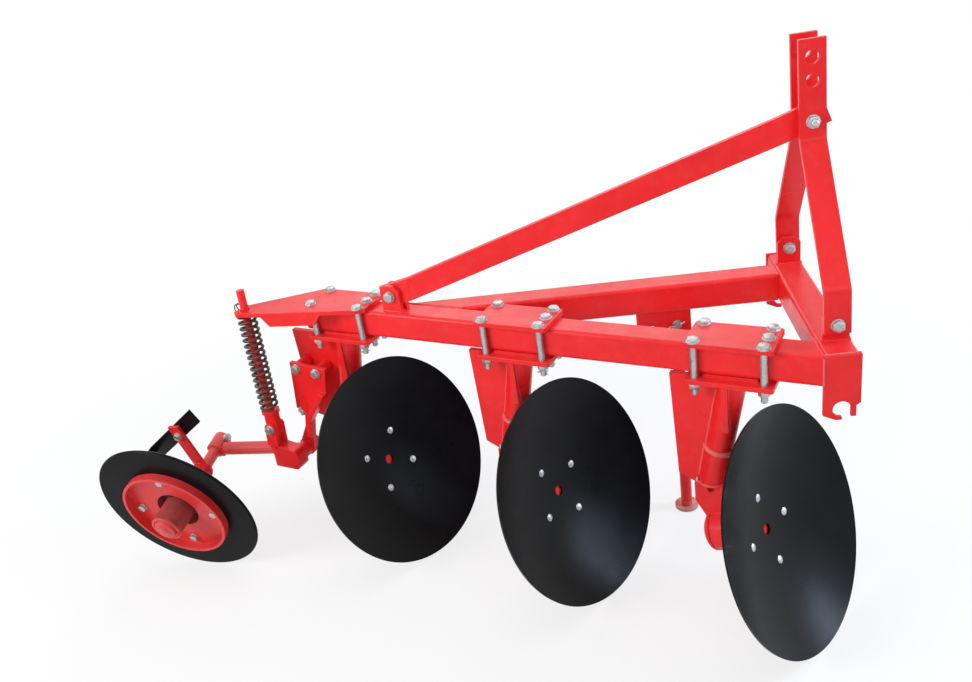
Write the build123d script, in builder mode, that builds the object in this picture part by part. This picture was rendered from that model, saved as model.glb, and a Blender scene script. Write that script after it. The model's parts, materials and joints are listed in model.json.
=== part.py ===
from build123d import *
from math import atan2, cos, radians, sin, sqrt
import os

os.makedirs("parts", exist_ok=True)

# Mounted three-disc plough, millimetres. X forward, Y left, Z up, floor at Z = 0.

# Clearances
TOUCH = 0.3            # between welded or bolted pieces
RUN = 5.0              # between a turning piece and what stands still
PIN_GAP = 0.25         # radial, pin in its hole
BORE_GAP = 2.0         # radial, sliding rod in its hole

# Middle of the hitch, seen from above
HITCH_X = 820.16
HITCH_Y = 66.26

# Discs
DISC_R = 255.0
DISC_DEPTH = 64.0
DISC_THICK = 6.0
DISC_EYE_R = 12.0
DISC_BEVEL = 1.5
DISC_TURN = 35.7       # right of forward
DISC_TILT = 20.0       # upward
DISC_BACK = 46.0       # first rim's centre behind the beam's front end
DISC_OUT = 23.0        # rim's centre outside the beam's side
HUB_FLANGE_R = 92.0
HUB_FLANGE = 12.0
SPINDLE_R = 15.0
HOUSING_R = 46.0
HOUSING_LENGTH = 88.0
CAP = 14.0             # end cap behind the housing's groove
CAP_TAPER = 7.0
GROOVE = 3.0

# Crossbar and beams
TUBE = 65.0
TUBE_WALL = 6.0
TUBE_CORNER = 8.0
DISC_ROOM = 82.0       # from the highest point of the discs up to the beam
CROSS_LENGTH = 508.0
BEAM_ANGLE = 24.6      # main beam, left of straight back
BEAM_TAIL = 102.0      # main beam behind the middle of the last clamp
BRACE_INSET = 88.0     # brace's middle, in from the crossbar's left end

# Hitch plates, each with a hook that drops over a cross shaft
HITCH_PLATE = 8.0
HITCH_LIP = 2.0        # plate past the tube, front and back
HOOK_BORE = 34.0
HOOK_DROP = 115.0      # from the tube's top to the hook's middle
HOOK_LIP = 6.0
HOOK_NOSE = 9.5        # front prong
HOOK_CLIP = 12.0       # clipped corner behind the hook

# Mast
FLAT = 50.0
FLAT_THICK = 10.0
MAST_GAP = 54.0
MAST_SET = 3.0         # mast bolts ahead of the crossbar's middle
MAST_LEAN = 1.07       # backward
EAR_BOLT_Y = 205.0
EAR_RISE = 37.0
EAR_TOP = 26.0         # above the bolt
EAR_CORNER = 12.0
BAR_TAIL = 19.0        # below the ear's bolt
BAR_BEND_R = 24.0
CRANK_LOW = 69.0       # lower bend above the ear's bolt
CRANK_HIGH = 35.0      # upper bend below the stay's bolt
MAST_HEIGHT = 614.0    # hook to upper link hole
LINK_BORE = 26.0
LINK_STEP = 43.0
LINK_EDGE = 33.0
STAY_DROP = 119.0      # stay's bolt below the upper link hole
BOLT = 16.0
BOLT_SPARE = 12.0      # shank past the outer face, for washer and nut

# Back stay
STAY_THICK = 12.0
STAY_WIDTH = 52.0
STAY_AHEAD = 152.0     # foot ahead of the last clamp's middle
STAY_TAB = 45.0        # straight ends, from the bolt
STAY_NOSE = 36.0
STAY_HEEL = 26.0

# Disc units, clamped along the beam
UNITS = 3
PITCH = 472.0
FIRST = 176.0          # middle of the first clamp
CLAMP_LENGTH = 176.0
CLAMP_SIDE = 17.5      # top plate past the beam's side
CLAMP_THICK = 10.0
CLAMP_CORNER = 5.0
BASE_SIDE = 21.0       # bottom plate past the beam's side
PAD = 5.0
PAD_INSET = 14.0
CLAMP_BOLT = 14.0
CLAMP_BOLT_STEP = 137.0
BOLT_OFF = 1.5         # bolt clear of the beam's side
NUT_ROOM = 20.0

# Legs: leaning tube, plate behind it, short rib in front
LEG_OUT = -24.0        # middle plane, from the beam's outer side
LEG_TUBE = 57.0
LEG_WALL = 6.0
LEG_LEAN = 11.0
LEG_DROP = 249.0       # from the clamp down to the tube's end
SLEEVE = 61.0
SLEEVE_DROP = 84.0     # length of the thicker foot
LEG_PLATE = 12.0
PLATE_TOP = 130.0      # rear corner behind the clamp's middle
PLATE_LOW = 121.5
PLATE_DROP = 243.0
PLATE_POINT = 84.5
LAST_PLATE_MORE = 44.0
RIB = 12.0
RIB_OUT = 12.0
RIB_BACK = 9.0
RIB_DROP = 108.0

# Foot block that joins leg and bearing housing
BLOCK = 48.0
BLOCK_BACK = 34.0      # shoulder behind the leg's axis
BLOCK_FRONT = 28.0
BLOCK_SHOULDER = 46.0
BLOCK_HOLE_R = 7.0
BLOCK_HOLE_DROP = 13.0
SPIGOT = 60.0

# Tail plate and spring, measured from the last clamp's middle (back, out)
ROD_HEAD = (229.0, 66.0)
ROD_FOOT = (213.0, 90.0)
ROD_ABOVE = 61.0       # rod's end above the beam
ROD_R = 10.0
TIP_NEAR = (232.0, 98.0)
TIP_END = (246.0, 88.0)
TIP_FAR = (242.0, 50.0)
TAIL_RIB = 10.0
TAIL_RIB_DEEP = 26.0
TAIL_RIB_FROM = 94.0   # along the plate's outer edge
TAIL_RIB_TO = 249.0
TAIL_RIB_SLOPE = 18.0
ROD_BLOCK = 20.0       # foot of the rod, held between two lugs
ROD_BLOCK_WIDE = 34.0
ROD_BLOCK_END = 17.0
ROD_COLLAR = 8.0
SPRING_FROM = 50.0     # from the pin up to the spring
LUG = 9.0
LUG_R = 17.0
SEAT_R = 23.0
SEAT = 5.0
COIL_R = 20.5
WIRE_R = 3.8
COILS = 16

# Tail bracket and arm
BRACKET_OUT = 32.0
BRACKET_THICK = 10.0
BRACKET_BOLTS = ((145.5, 84.0), (85.0, 90.0))     # (back, below the clamp)
BRACKET_TOP = ((54.0, 75.0), (162.5, 67.0))       # (back, below the clamp)
BRACKET_REAR = ((177.5, 119.0), (153.0, 110.0), (164.0, 65.0))     # (back, above the pivot)
BRACKET_FRONT = ((140.0, 40.0), (132.0, 88.0), (69.0, 174.0))
STANDOFF_R = 15.0
PIVOT_BACK = 175.5
PIVOT_DROP = 320.9284  # arm's pivot below the last clamp
PIVOT_TO_PIN = 90.0
BARREL_R = 21.0
FLANGE_WIDE = 12.0
FLANGE_DEEP = 13.0
YOKE_IN = 72.0
YOKE_OUT = 108.0
YOKE_BACK = 47.5
YOKE_TOP = 44.0
YOKE_BELOW = 20.0
YOKE_NOSE = 32.0
YOKE_SLOPE = 10.0      # top, falling to the nose
YOKE_ROUND = 14.0
ARM_R = 17.0
ARM_UP = 26.0          # arm's axis above the pivot

# Tail wheel
WHEEL_BACK = 350.0
WHEEL_OUT = 342.8
WHEEL_R = 211.6
WHEEL_TURN = 104.7     # outer side, right of forward
WHEEL_LEAN = 13.8
RIM_THICK = 8.0
RIM_BEVEL = 2.5
DRUM_R = 136.0
DRUM_WALL = 7.0
DRUM_FLOOR = 6.0
DRUM_RISE = 20.0       # lip above the rim's face
DRUM_EYE = 55.0
WHEEL_HUB_R = 38.0
HUB_FRONT = 60.0
HUB_REAR = 58.0
HUB_CAP = 14.0
WHEEL_FLANGE_R = 118.0
WHEEL_FLANGE = 10.0
BELL_WALL = 10.0
BELL_DEEP = 26.0
AXLE_R = 15.0
AXLE_TOP = 205.0       # from the rim plane back to the arm's axis
SOCKET_WALL = 8.0
SOCKET = 52.0
SOCKET_UP = 18.0       # socket's middle past the arm's axis
SOCKET_ROUND = 9.0

# Scraper behind the wheel
SCRAPER_AT = 138.0     # blade's face behind the rim plane
SCRAPER_BOLT = (-15.0, 125.0)
SCRAPER_BAR = 32.0
SCRAPER_THICK = 8.0
SCRAPER_MORE = 30.0    # bar past the bolt
COLLAR = 22.0
COLLAR_WALL = 9.0
BLADE_TURN = 38.0
BLADE_WIDE = 40.0
BLADE_ABOVE = 7.0      # blade's middle line past the bolt
BLADE_THICK = 6.0
BLADE_UP = 103.0
BLADE_DOWN = 140.0
BLADE_CUT = 15.0

# Parking stand under the brace
STAND_BACK = 224.5     # behind the crossbar
STAND_R = 14.0
STAND_DROP = 36.0      # pin below the brace
STAND_GAP = 1.5
STAND_PLATE = 8.0
STAND_HOLE_STEP = 59.0
STAND_EDGE = 31.0
STAND_BELOW = 18.0
STAND_PIN_R = 6.0
STAND_PIN_SPARE = 10.0
STAND_FOOT_R = 29.0
STAND_FOOT = 8.0

# Heights that follow from those
TILT = radians(DISC_TILT)
TURN = radians(DISC_TURN)
DISC_Z = (DISC_R - DISC_BEVEL) * cos(TILT) + DISC_THICK * sin(TILT)
TUBE_LOW = 2 * DISC_Z + DISC_ROOM
TUBE_TOP = TUBE_LOW + TUBE
TUBE_MID = TUBE_LOW + TUBE / 2
TUBE_BORE = TUBE - 2 * TUBE_WALL
BORE_CORNER = TUBE_CORNER - TUBE_WALL
HOOK_Z = TUBE_TOP - HOOK_DROP
EAR_Z = TUBE_TOP + EAR_RISE
BASE_TOP = TUBE_LOW - TOUCH - PAD
LEG_TOP = BASE_TOP - CLAMP_THICK - TOUCH
LEG_FOOT = LEG_TOP - LEG_DROP
PIVOT_Z = LEG_TOP - PIVOT_DROP

# Directions and places along the slanted beam
UP = Vector(0, 0, 1)
BACK = radians(180.0 - BEAM_ANGLE)
ALONG = Vector(cos(BACK), sin(BACK), 0)
OUT = Vector(-sin(BACK), cos(BACK), 0)
END_Y = CROSS_LENGTH / 2 + HITCH_PLATE
HITCH_HALF = TUBE / 2 + HITCH_LIP
BEAM_START = Vector(HITCH_X - HITCH_HALF, HITCH_Y - END_Y, 0)
LAST = FIRST + (UNITS - 1) * PITCH
BEAM_LENGTH = LAST + BEAM_TAIL
BOLT_ROWS = (CLAMP_BOLT / 2 + BOLT_OFF, -TUBE / 2, -TUBE - CLAMP_BOLT / 2 - BOLT_OFF)


def save(piece, node):
    piece.label = node
    export_step(piece, "parts/" + node + ".step")


def on_beam(along, out, height):
    return BEAM_START + ALONG * along + OUT * out + UP * height


def side_plane(out):
    # Upright plane along the beam: sketch x runs back, sketch y runs up
    return Plane(origin=on_beam(0, out, 0), x_dir=ALONG, z_dir=OUT * -1)


def flat_plane(height):
    # Level plane: sketch x runs back along the beam, sketch y runs outward
    return Plane(origin=on_beam(0, 0, height), x_dir=ALONG, z_dir=UP)


def beam_section(along):
    # Upright plane across the beam, in its middle: extrusions run forward
    return Plane(origin=on_beam(along, -TUBE / 2, TUBE_MID), x_dir=OUT, z_dir=ALONG * -1)


def cross_plane(y):
    # Upright plane across the hitch: sketch x runs forward, sketch y runs up
    return Plane(origin=(HITCH_X, HITCH_Y + y, 0), x_dir=(1, 0, 0), z_dir=(0, -1, 0))


def rod_plane(start, end):
    return Plane(origin=start, z_dir=(end - start).normalized())


def hollow(radius):
    # Height of the dished face below the rim plane
    return SPHERE_R - DISC_DEPTH - sqrt(SPHERE_R ** 2 - radius ** 2)


def bolt_spots(station, rows=BOLT_ROWS):
    # Three bolts ahead of the leg, two behind it
    front = [(station - CLAMP_BOLT_STEP / 2, out) for out in rows]
    rear = [(station + CLAMP_BOLT_STEP / 2, out) for out in (BOLT_ROWS[0], BOLT_ROWS[2])]
    return front + rear


def ear(middle, foot, bolt_at):
    # Lug outline with clipped top corners and a bolt hole
    half, top = FLAT / 2, bolt_at + EAR_TOP
    Polygon(
        (middle - half, foot), (middle + half, foot),
        (middle + half, top - EAR_CORNER), (middle + half - EAR_CORNER, top),
        (middle - half + EAR_CORNER, top), (middle - half, top - EAR_CORNER),
        align=None,
    )
    with Locations((middle, bolt_at)):
        Circle(BOLT / 2 + PIN_GAP, mode=Mode.SUBTRACT)


# Crossbar: square tube across the machine
with BuildPart() as crossbar:
    with BuildSketch(cross_plane(0)):
        with Locations((0, TUBE_MID)):
            RectangleRounded(TUBE, TUBE, TUBE_CORNER)
            RectangleRounded(TUBE_BORE, TUBE_BORE, BORE_CORNER, mode=Mode.SUBTRACT)
    extrude(amount=CROSS_LENGTH / 2, both=True)
save(crossbar.part, "crossbar")

# Hitch plates closing the crossbar's ends and running down to open hooks
HOOK_R = HOOK_BORE / 2
HOOK_BOTTOM = HOOK_Z - HOOK_R - HOOK_LIP
for node, y in (("hitch_plate_right", -CROSS_LENGTH / 2 - TOUCH), ("hitch_plate_left", END_Y)):
    with BuildPart() as hitch_plate:
        with BuildSketch(cross_plane(y)):
            Polygon(
                (-HITCH_HALF, TUBE_TOP),
                (HITCH_HALF, TUBE_TOP),
                (HITCH_HALF, HOOK_Z + HOOK_R - RUN),
                (HOOK_R + HOOK_NOSE, HOOK_Z + HOOK_R - RUN - HOOK_LIP),
                (HOOK_R + HOOK_NOSE, HOOK_Z - HOOK_R),
                (HOOK_R, HOOK_Z - HOOK_R),
                (HOOK_R, HOOK_BOTTOM),
                (HOOK_CLIP - HOOK_R - HOOK_LIP, HOOK_BOTTOM),
                (-HITCH_HALF, HOOK_Z - HOOK_CLIP),
                align=None,
            )
            with Locations((0, HOOK_Z)):
                Circle(HOOK_R, mode=Mode.SUBTRACT)
            with Locations((HOOK_R / 2, HOOK_Z - HOOK_R)):
                Rectangle(HOOK_R, HOOK_BORE, mode=Mode.SUBTRACT)
        extrude(amount=HITCH_PLATE - TOUCH)
    save(hitch_plate.part, node)

# Main beam: mitred against the crossbar's back
with BuildPart() as main_beam:
    with BuildSketch(beam_section(BEAM_LENGTH)):
        RectangleRounded(TUBE, TUBE, TUBE_CORNER)
    extrude(amount=BEAM_LENGTH + 2 * TUBE)
    with BuildSketch(beam_section(BEAM_LENGTH - TUBE_WALL)):
        RectangleRounded(TUBE_BORE, TUBE_BORE, BORE_CORNER)
    extrude(amount=BEAM_LENGTH + 2 * TUBE, mode=Mode.SUBTRACT)
    with Locations((HITCH_X - TUBE / 2 - TOUCH, HITCH_Y, TUBE_MID)):
        Box(
            4 * TUBE, 2 * CROSS_LENGTH, 2 * TUBE,
            align=(Align.MIN, Align.CENTER, Align.CENTER), mode=Mode.SUBTRACT,
        )
    with Locations((HITCH_X - HITCH_HALF - TOUCH, HITCH_Y - CROSS_LENGTH / 2 + TOUCH, TUBE_MID)):
        Box(4 * TUBE, 4 * TUBE, 2 * TUBE, align=(Align.MIN, Align.MAX, Align.CENTER), mode=Mode.SUBTRACT)
save(main_beam.part, "main_beam")

# Brace: from the crossbar's back to the main beam's far side, between the last two clamps
BRACE_AT = Vector(HITCH_X - TUBE / 2 - TOUCH, HITCH_Y + CROSS_LENGTH / 2 - BRACE_INSET, 0)
BRACE_END = on_beam(LAST - PITCH / 2, -TUBE, 0)
brace = Plane(origin=BRACE_AT, x_dir=(BRACE_END - BRACE_AT).normalized(), z_dir=UP)
BRACE_LENGTH = (BRACE_END - BRACE_AT).length
with BuildPart() as brace_beam:
    brace_from = brace.from_local_coords((-TUBE, 0, TUBE_MID))
    with BuildSketch(Plane(origin=brace_from, x_dir=brace.y_dir, z_dir=brace.x_dir)):
        RectangleRounded(TUBE, TUBE, TUBE_CORNER)
        RectangleRounded(TUBE_BORE, TUBE_BORE, BORE_CORNER, mode=Mode.SUBTRACT)
    extrude(amount=BRACE_LENGTH + 5 * TUBE)
    with BuildSketch(flat_plane(TUBE_LOW)):
        with Locations((0, -TUBE - TOUCH)):
            Rectangle(3 * BEAM_LENGTH, 8 * TUBE, align=(Align.CENTER, Align.MIN))
    extrude(amount=2 * TUBE, mode=Mode.SUBTRACT)
    with Locations((BRACE_AT.X, BRACE_AT.Y, TUBE_MID)):
        Box(4 * TUBE, 4 * TUBE, 2 * TUBE, align=(Align.MIN, Align.CENTER, Align.CENTER), mode=Mode.SUBTRACT)
save(brace_beam.part, "brace_beam")

# Mast: two ears on the crossbar, two cranked flat bars bolted outside them, leaning back
EAR_MID = EAR_BOLT_Y - FLAT_THICK - TOUCH
with BuildPart() as mast_ears:
    for side in (-1, 1):
        with BuildSketch(cross_plane(side * EAR_MID)):
            ear(MAST_SET, TUBE_TOP + TOUCH, EAR_Z)
        extrude(amount=FLAT_THICK / 2, both=True)
save(mast_ears.part, "mast_ears")

mast_lean = radians(MAST_LEAN)
mast = Plane(
    origin=(HITCH_X + MAST_SET, HITCH_Y, EAR_Z), x_dir=(0, 1, 0), z_dir=(cos(mast_lean), 0, sin(mast_lean)),
)
LINK_RISE = (HOOK_Z + MAST_HEIGHT - EAR_Z) / cos(mast_lean)
TOP_RISE = LINK_RISE + LINK_EDGE
STAY_RISE = LINK_RISE - STAY_DROP


def on_mast(across, rise):
    return mast.from_local_coords((across, rise, 0))


MAST_HOLES = ((0, BOLT + 2 * PIN_GAP), (STAY_RISE, BOLT + 2 * PIN_GAP))
MAST_HOLES += ((LINK_RISE, LINK_BORE), (LINK_RISE - LINK_STEP, LINK_BORE))
for node, side in (("mast_bar_right", -1), ("mast_bar_left", 1)):
    head_y = side * (MAST_GAP + FLAT_THICK) / 2
    with BuildPart() as mast_bar:
        with BuildSketch(mast):
            with BuildLine():
                FilletPolyline(
                    (side * EAR_BOLT_Y, -2 * BAR_TAIL), (side * EAR_BOLT_Y, CRANK_LOW),
                    (head_y, STAY_RISE - CRANK_HIGH), (head_y, TOP_RISE + LINK_EDGE),
                    radius=BAR_BEND_R,
                )
                offset(amount=FLAT_THICK / 2, side=Side.BOTH, kind=Kind.INTERSECTION)
            make_face()
            with Locations((0, (TOP_RISE - BAR_TAIL) / 2)):
                Rectangle(4 * EAR_BOLT_Y, TOP_RISE + BAR_TAIL, mode=Mode.INTERSECT)
        extrude(amount=FLAT / 2, both=True)
        for rise, bore in MAST_HOLES:
            with Locations(Plane(origin=on_mast(0, rise), z_dir=(0, 1, 0))):
                Cylinder(bore / 2, 4 * EAR_BOLT_Y, mode=Mode.SUBTRACT)
    save(mast_bar.part, node)

# Back stay: flat bar from the mast down to two ears on the main beam
STAY_FOOT = LAST - STAY_AHEAD
FOOT = on_beam(STAY_FOOT, -TUBE / 2, EAR_Z)
STAY_TOP = on_mast(0, STAY_RISE)
stay_bend = FOOT - ALONG * STAY_TAB
stay_heel = FOOT + ALONG * (2 * STAY_HEEL)
fall = atan2(STAY_TOP.Z - FOOT.Z, STAY_TOP.X - FOOT.X)
with BuildPart() as back_stay:
    with BuildSketch(Plane.XY):
        with BuildLine():
            Polyline(
                (STAY_TOP.X + 2 * STAY_NOSE, STAY_TOP.Y), (STAY_TOP.X - STAY_TAB, STAY_TOP.Y),
                (stay_bend.X, stay_bend.Y), (stay_heel.X, stay_heel.Y),
            )
            offset(amount=STAY_THICK / 2, side=Side.BOTH, kind=Kind.INTERSECTION)
        make_face()
    extrude(amount=2 * STAY_TOP.Z)
    with BuildSketch(Plane(origin=FOOT, x_dir=(cos(fall), 0, sin(fall)), z_dir=(0, -1, 0))):
        with Locations((-STAY_HEEL, 0)):
            stay_run = sqrt((STAY_TOP.X - FOOT.X) ** 2 + (STAY_TOP.Z - FOOT.Z) ** 2)
            Rectangle(stay_run + STAY_HEEL + STAY_NOSE, STAY_WIDTH, align=(Align.MIN, Align.CENTER))
    extrude(amount=4 * CROSS_LENGTH, both=True, mode=Mode.INTERSECT)
    with Locations(Plane(origin=STAY_TOP, z_dir=(0, 1, 0)), Plane(origin=FOOT, z_dir=OUT)):
        Cylinder(BOLT / 2 + PIN_GAP, 4 * FLAT_THICK, mode=Mode.SUBTRACT)
save(back_stay.part, "back_stay")

with BuildPart() as stay_ears:
    for out in (STAY_THICK / 2 + TOUCH + FLAT_THICK, -STAY_THICK / 2 - TOUCH):
        with BuildSketch(side_plane(out - TUBE / 2)):
            ear(STAY_FOOT, TUBE_TOP + TOUCH, EAR_Z)
        extrude(amount=FLAT_THICK)
save(stay_ears.part, "stay_ears")

# Spacer tubes either side of the stay, and the mast's bolts
SPACER = (MAST_GAP - STAY_THICK) / 2 - TOUCH
with BuildPart() as stay_spacers:
    for side in (-1, 1):
        spacer_at = on_mast(side * (STAY_THICK + SPACER + TOUCH) / 2, STAY_RISE)
        with Locations(Plane(origin=spacer_at, z_dir=(0, 1, 0))):
            Cylinder(BOLT, SPACER)
            Cylinder(BOLT / 2 + PIN_GAP, SPACER, mode=Mode.SUBTRACT)
save(stay_spacers.part, "stay_spacers")

with BuildPart() as mast_bolts:
    for across, rise, grip in (
        (0, STAY_RISE, MAST_GAP + 2 * FLAT_THICK),
        (FLAT_THICK / 2 - EAR_BOLT_Y, 0, 2 * FLAT_THICK),
        (EAR_BOLT_Y - FLAT_THICK / 2, 0, 2 * FLAT_THICK),
    ):
        with Locations(Plane(origin=on_mast(across, rise), z_dir=(0, 1, 0))):
            Cylinder(BOLT / 2, grip + 2 * BOLT_SPARE)
    with Locations(Plane(origin=FOOT, z_dir=OUT)):
        Cylinder(BOLT / 2, STAY_THICK + 2 * FLAT_THICK + 2 * BOLT_SPARE)
save(mast_bolts.part, "mast_bolts")

# Disc units
FACE = Vector(cos(TILT) * cos(TURN), -cos(TILT) * sin(TURN), sin(TILT))
SPHERE_R = (DISC_R ** 2 + DISC_DEPTH ** 2) / (2 * DISC_DEPTH)
HUB_AT = -DISC_DEPTH - DISC_THICK - TOUCH
HOUSING_AT = HUB_AT - HUB_FLANGE - RUN
lean = radians(LEG_LEAN)
LEG_RUN = ALONG * sin(lean) - UP * cos(lean)
LEG_LENGTH = LEG_DROP / cos(lean)
LEG_SHIFT = LEG_DROP * sin(lean) / cos(lean)
for unit in range(UNITS):
    name = "_" + str(unit + 1)
    station = FIRST + unit * PITCH
    foot_at = station + LEG_SHIFT

    # Clamp plates above and below the beam, the lower one with a pad
    if unit < UNITS - 1:
        with BuildPart() as clamp_top:
            with BuildSketch(flat_plane(TUBE_TOP + TOUCH)):
                with Locations((station, -TUBE / 2)):
                    RectangleRounded(CLAMP_LENGTH, TUBE + 2 * CLAMP_SIDE, CLAMP_CORNER)
                with Locations(*bolt_spots(station)):
                    Circle(CLAMP_BOLT / 2 + PIN_GAP, mode=Mode.SUBTRACT)
            extrude(amount=CLAMP_THICK)
        save(clamp_top.part, "clamp_top" + name)
    with BuildPart() as clamp_bottom:
        with BuildSketch(flat_plane(BASE_TOP)):
            with Locations((station, -TUBE / 2)):
                RectangleRounded(CLAMP_LENGTH, TUBE + 2 * BASE_SIDE, CLAMP_CORNER)
            with Locations(*bolt_spots(station)):
                Circle(CLAMP_BOLT / 2 + PIN_GAP, mode=Mode.SUBTRACT)
        extrude(amount=-CLAMP_THICK)
        with BuildSketch(flat_plane(BASE_TOP)):
            with Locations((station, -TUBE / 2)):
                Rectangle(CLAMP_BOLT_STEP - 2 * PAD_INSET, TUBE)
        extrude(amount=PAD)
    save(clamp_bottom.part, "clamp_bottom" + name)
    with BuildPart() as clamp_bolts:
        with BuildSketch(flat_plane(LEG_TOP - NUT_ROOM)):
            with Locations(*bolt_spots(station, BOLT_ROWS[::2])):
                Circle(CLAMP_BOLT / 2)
        extrude(amount=TUBE_TOP + CLAMP_THICK + BOLT_SPARE / 2 - LEG_TOP + NUT_ROOM)
    save(clamp_bolts.part, "clamp_bolts" + name)

    # Leg tube with its thicker foot and a rib up to the clamp
    leg = Plane(origin=on_beam(station, LEG_OUT, LEG_TOP), x_dir=OUT, z_dir=LEG_RUN)
    reach = LEG_LENGTH + LEG_TUBE
    with BuildPart() as leg_tube:
        with Locations(leg.offset(-LEG_TUBE)):
            Cylinder(LEG_TUBE / 2, reach + LEG_TUBE, align=(Align.CENTER, Align.CENTER, Align.MIN))
        with Locations(leg.offset(LEG_LENGTH - SLEEVE_DROP)):
            Cylinder(SLEEVE / 2, SLEEVE_DROP + LEG_TUBE, align=(Align.CENTER, Align.CENTER, Align.MIN))
        with BuildSketch(side_plane(RIB_OUT)):
            with Locations((station + RIB_BACK, LEG_TOP)):
                Rectangle(RIB, RIB_DROP, align=(Align.CENTER, Align.MAX))
        extrude(amount=RIB_OUT - LEG_OUT)
        with Locations(leg.offset(-LEG_TUBE)):
            Cylinder(
                LEG_TUBE / 2 - LEG_WALL, reach + LEG_TUBE, align=(Align.CENTER, Align.CENTER, Align.MIN),
                mode=Mode.SUBTRACT,
            )
        with BuildSketch(flat_plane(LEG_TOP), flat_plane(LEG_FOOT - 2 * LEG_TUBE)):
            with Locations((station, LEG_OUT)):
                Rectangle(6 * LEG_TUBE, 4 * LEG_TUBE)
        extrude(amount=2 * LEG_TUBE, mode=Mode.SUBTRACT)
    save(leg_tube.part, "leg_tube" + name)

    # Plate in the leg's middle plane, butted against the tube from behind
    more = LAST_PLATE_MORE if unit == UNITS - 1 else 0.0
    with BuildPart() as leg_plate:
        with BuildSketch(side_plane(LEG_OUT + LEG_PLATE / 2)):
            Polygon(
                (station, LEG_TOP),
                (station + PLATE_TOP + more, LEG_TOP),
                (station + PLATE_LOW + more, LEG_TOP - PLATE_DROP),
                (station + PLATE_POINT, LEG_FOOT - LEG_PLATE),
                (foot_at + BLOCK_BACK + TOUCH, LEG_FOOT - LEG_PLATE),
                (foot_at + BLOCK_BACK + TOUCH, LEG_FOOT),
                (foot_at, LEG_FOOT),
                align=None,
            )
        extrude(amount=LEG_PLATE)
        with Locations(leg.offset(-LEG_TUBE)):
            Cylinder(
                LEG_TUBE / 2 + TOUCH, reach + LEG_TUBE, align=(Align.CENTER, Align.CENTER, Align.MIN),
                mode=Mode.SUBTRACT,
            )
        with Locations(leg.offset(LEG_LENGTH - SLEEVE_DROP - TOUCH)):
            Cylinder(
                SLEEVE / 2 + TOUCH, SLEEVE_DROP + LEG_TUBE, align=(Align.CENTER, Align.CENTER, Align.MIN),
                mode=Mode.SUBTRACT,
            )
    save(leg_plate.part, "leg_plate" + name)

    # Dished disc
    centre = on_beam(station - FIRST + DISC_BACK, DISC_OUT, DISC_Z)
    dish = Plane(origin=centre, z_dir=FACE)
    with BuildPart() as disc:
        with BuildSketch(Plane(origin=centre, x_dir=dish.x_dir, z_dir=dish.y_dir * -1)):
            with BuildLine():
                ThreePointArc(
                    (DISC_EYE_R, hollow(DISC_EYE_R)),
                    (DISC_R / 2, hollow(DISC_R / 2)),
                    (DISC_R, hollow(DISC_R)),
                )
                Line((DISC_R, hollow(DISC_R)), (DISC_R - DISC_BEVEL, hollow(DISC_R) - DISC_THICK))
                ThreePointArc(
                    (DISC_R - DISC_BEVEL, hollow(DISC_R) - DISC_THICK),
                    (DISC_R / 2, hollow(DISC_R / 2) - DISC_THICK),
                    (DISC_EYE_R, hollow(DISC_EYE_R) - DISC_THICK),
                )
                Line((DISC_EYE_R, hollow(DISC_EYE_R) - DISC_THICK), (DISC_EYE_R, hollow(DISC_EYE_R)))
            make_face()
        revolve(axis=Axis(centre, FACE))
    save(disc.part, "disc" + name)

    with BuildPart() as disc_hub:
        with Locations(dish.offset(HUB_AT)):
            Cylinder(HUB_FLANGE_R, HUB_FLANGE, align=(Align.CENTER, Align.CENTER, Align.MAX))
            Cylinder(
                SPINDLE_R, HUB_FLANGE + HOUSING_LENGTH, align=(Align.CENTER, Align.CENTER, Align.MAX),
            )
    save(disc_hub.part, "disc_hub" + name)

    # Foot block under the leg, with the bearing housing and its end cap
    axle = centre + FACE * (HOUSING_AT - HOUSING_LENGTH / 2)
    with BuildPart() as housing:
        with BuildSketch(side_plane(LEG_OUT + BLOCK / 2)):
            Polygon(
                (foot_at - BLOCK_FRONT, LEG_FOOT - TOUCH),
                (foot_at + BLOCK_BACK, LEG_FOOT - TOUCH),
                (foot_at + BLOCK_BACK, LEG_FOOT - BLOCK_SHOULDER),
                (foot_at + PLATE_POINT - PLATE_LOW + HOUSING_R, axle.Z + HOUSING_R / 3),
                (foot_at - HOUSING_R, axle.Z),
                align=None,
            )
            with Locations((foot_at, LEG_FOOT - BLOCK_HOLE_DROP)):
                Circle(BLOCK_HOLE_R, mode=Mode.SUBTRACT)
        extrude(amount=BLOCK)
        with Locations(leg.offset(LEG_LENGTH - SPIGOT)):
            Cylinder(
                LEG_TUBE / 2 - LEG_WALL - TOUCH, SPIGOT + BLOCK_HOLE_DROP - BLOCK_HOLE_R - RUN,
                align=(Align.CENTER, Align.CENTER, Align.MIN),
            )
        with Locations(dish.offset(HOUSING_AT)):
            Cylinder(HOUSING_R, HOUSING_LENGTH, align=(Align.CENTER, Align.CENTER, Align.MAX))
        with Locations(dish.offset(HOUSING_AT - HOUSING_LENGTH)):
            Cylinder(HOUSING_R - GROOVE, GROOVE, align=(Align.CENTER, Align.CENTER, Align.MAX))
        with Locations(dish.offset(HOUSING_AT - HOUSING_LENGTH - GROOVE)):
            Cylinder(HOUSING_R, CAP - CAP_TAPER, align=(Align.CENTER, Align.CENTER, Align.MAX))
        with Locations(dish.offset(HOUSING_AT - HOUSING_LENGTH - GROOVE - CAP + CAP_TAPER)):
            Cone(HOUSING_R - CAP_TAPER, HOUSING_R, CAP_TAPER, align=(Align.CENTER, Align.CENTER, Align.MAX))
        with Locations(dish.offset(HOUSING_AT)):
            Cylinder(
                SPINDLE_R + TOUCH, HOUSING_LENGTH, align=(Align.CENTER, Align.CENTER, Align.MAX),
                mode=Mode.SUBTRACT,
            )
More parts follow.
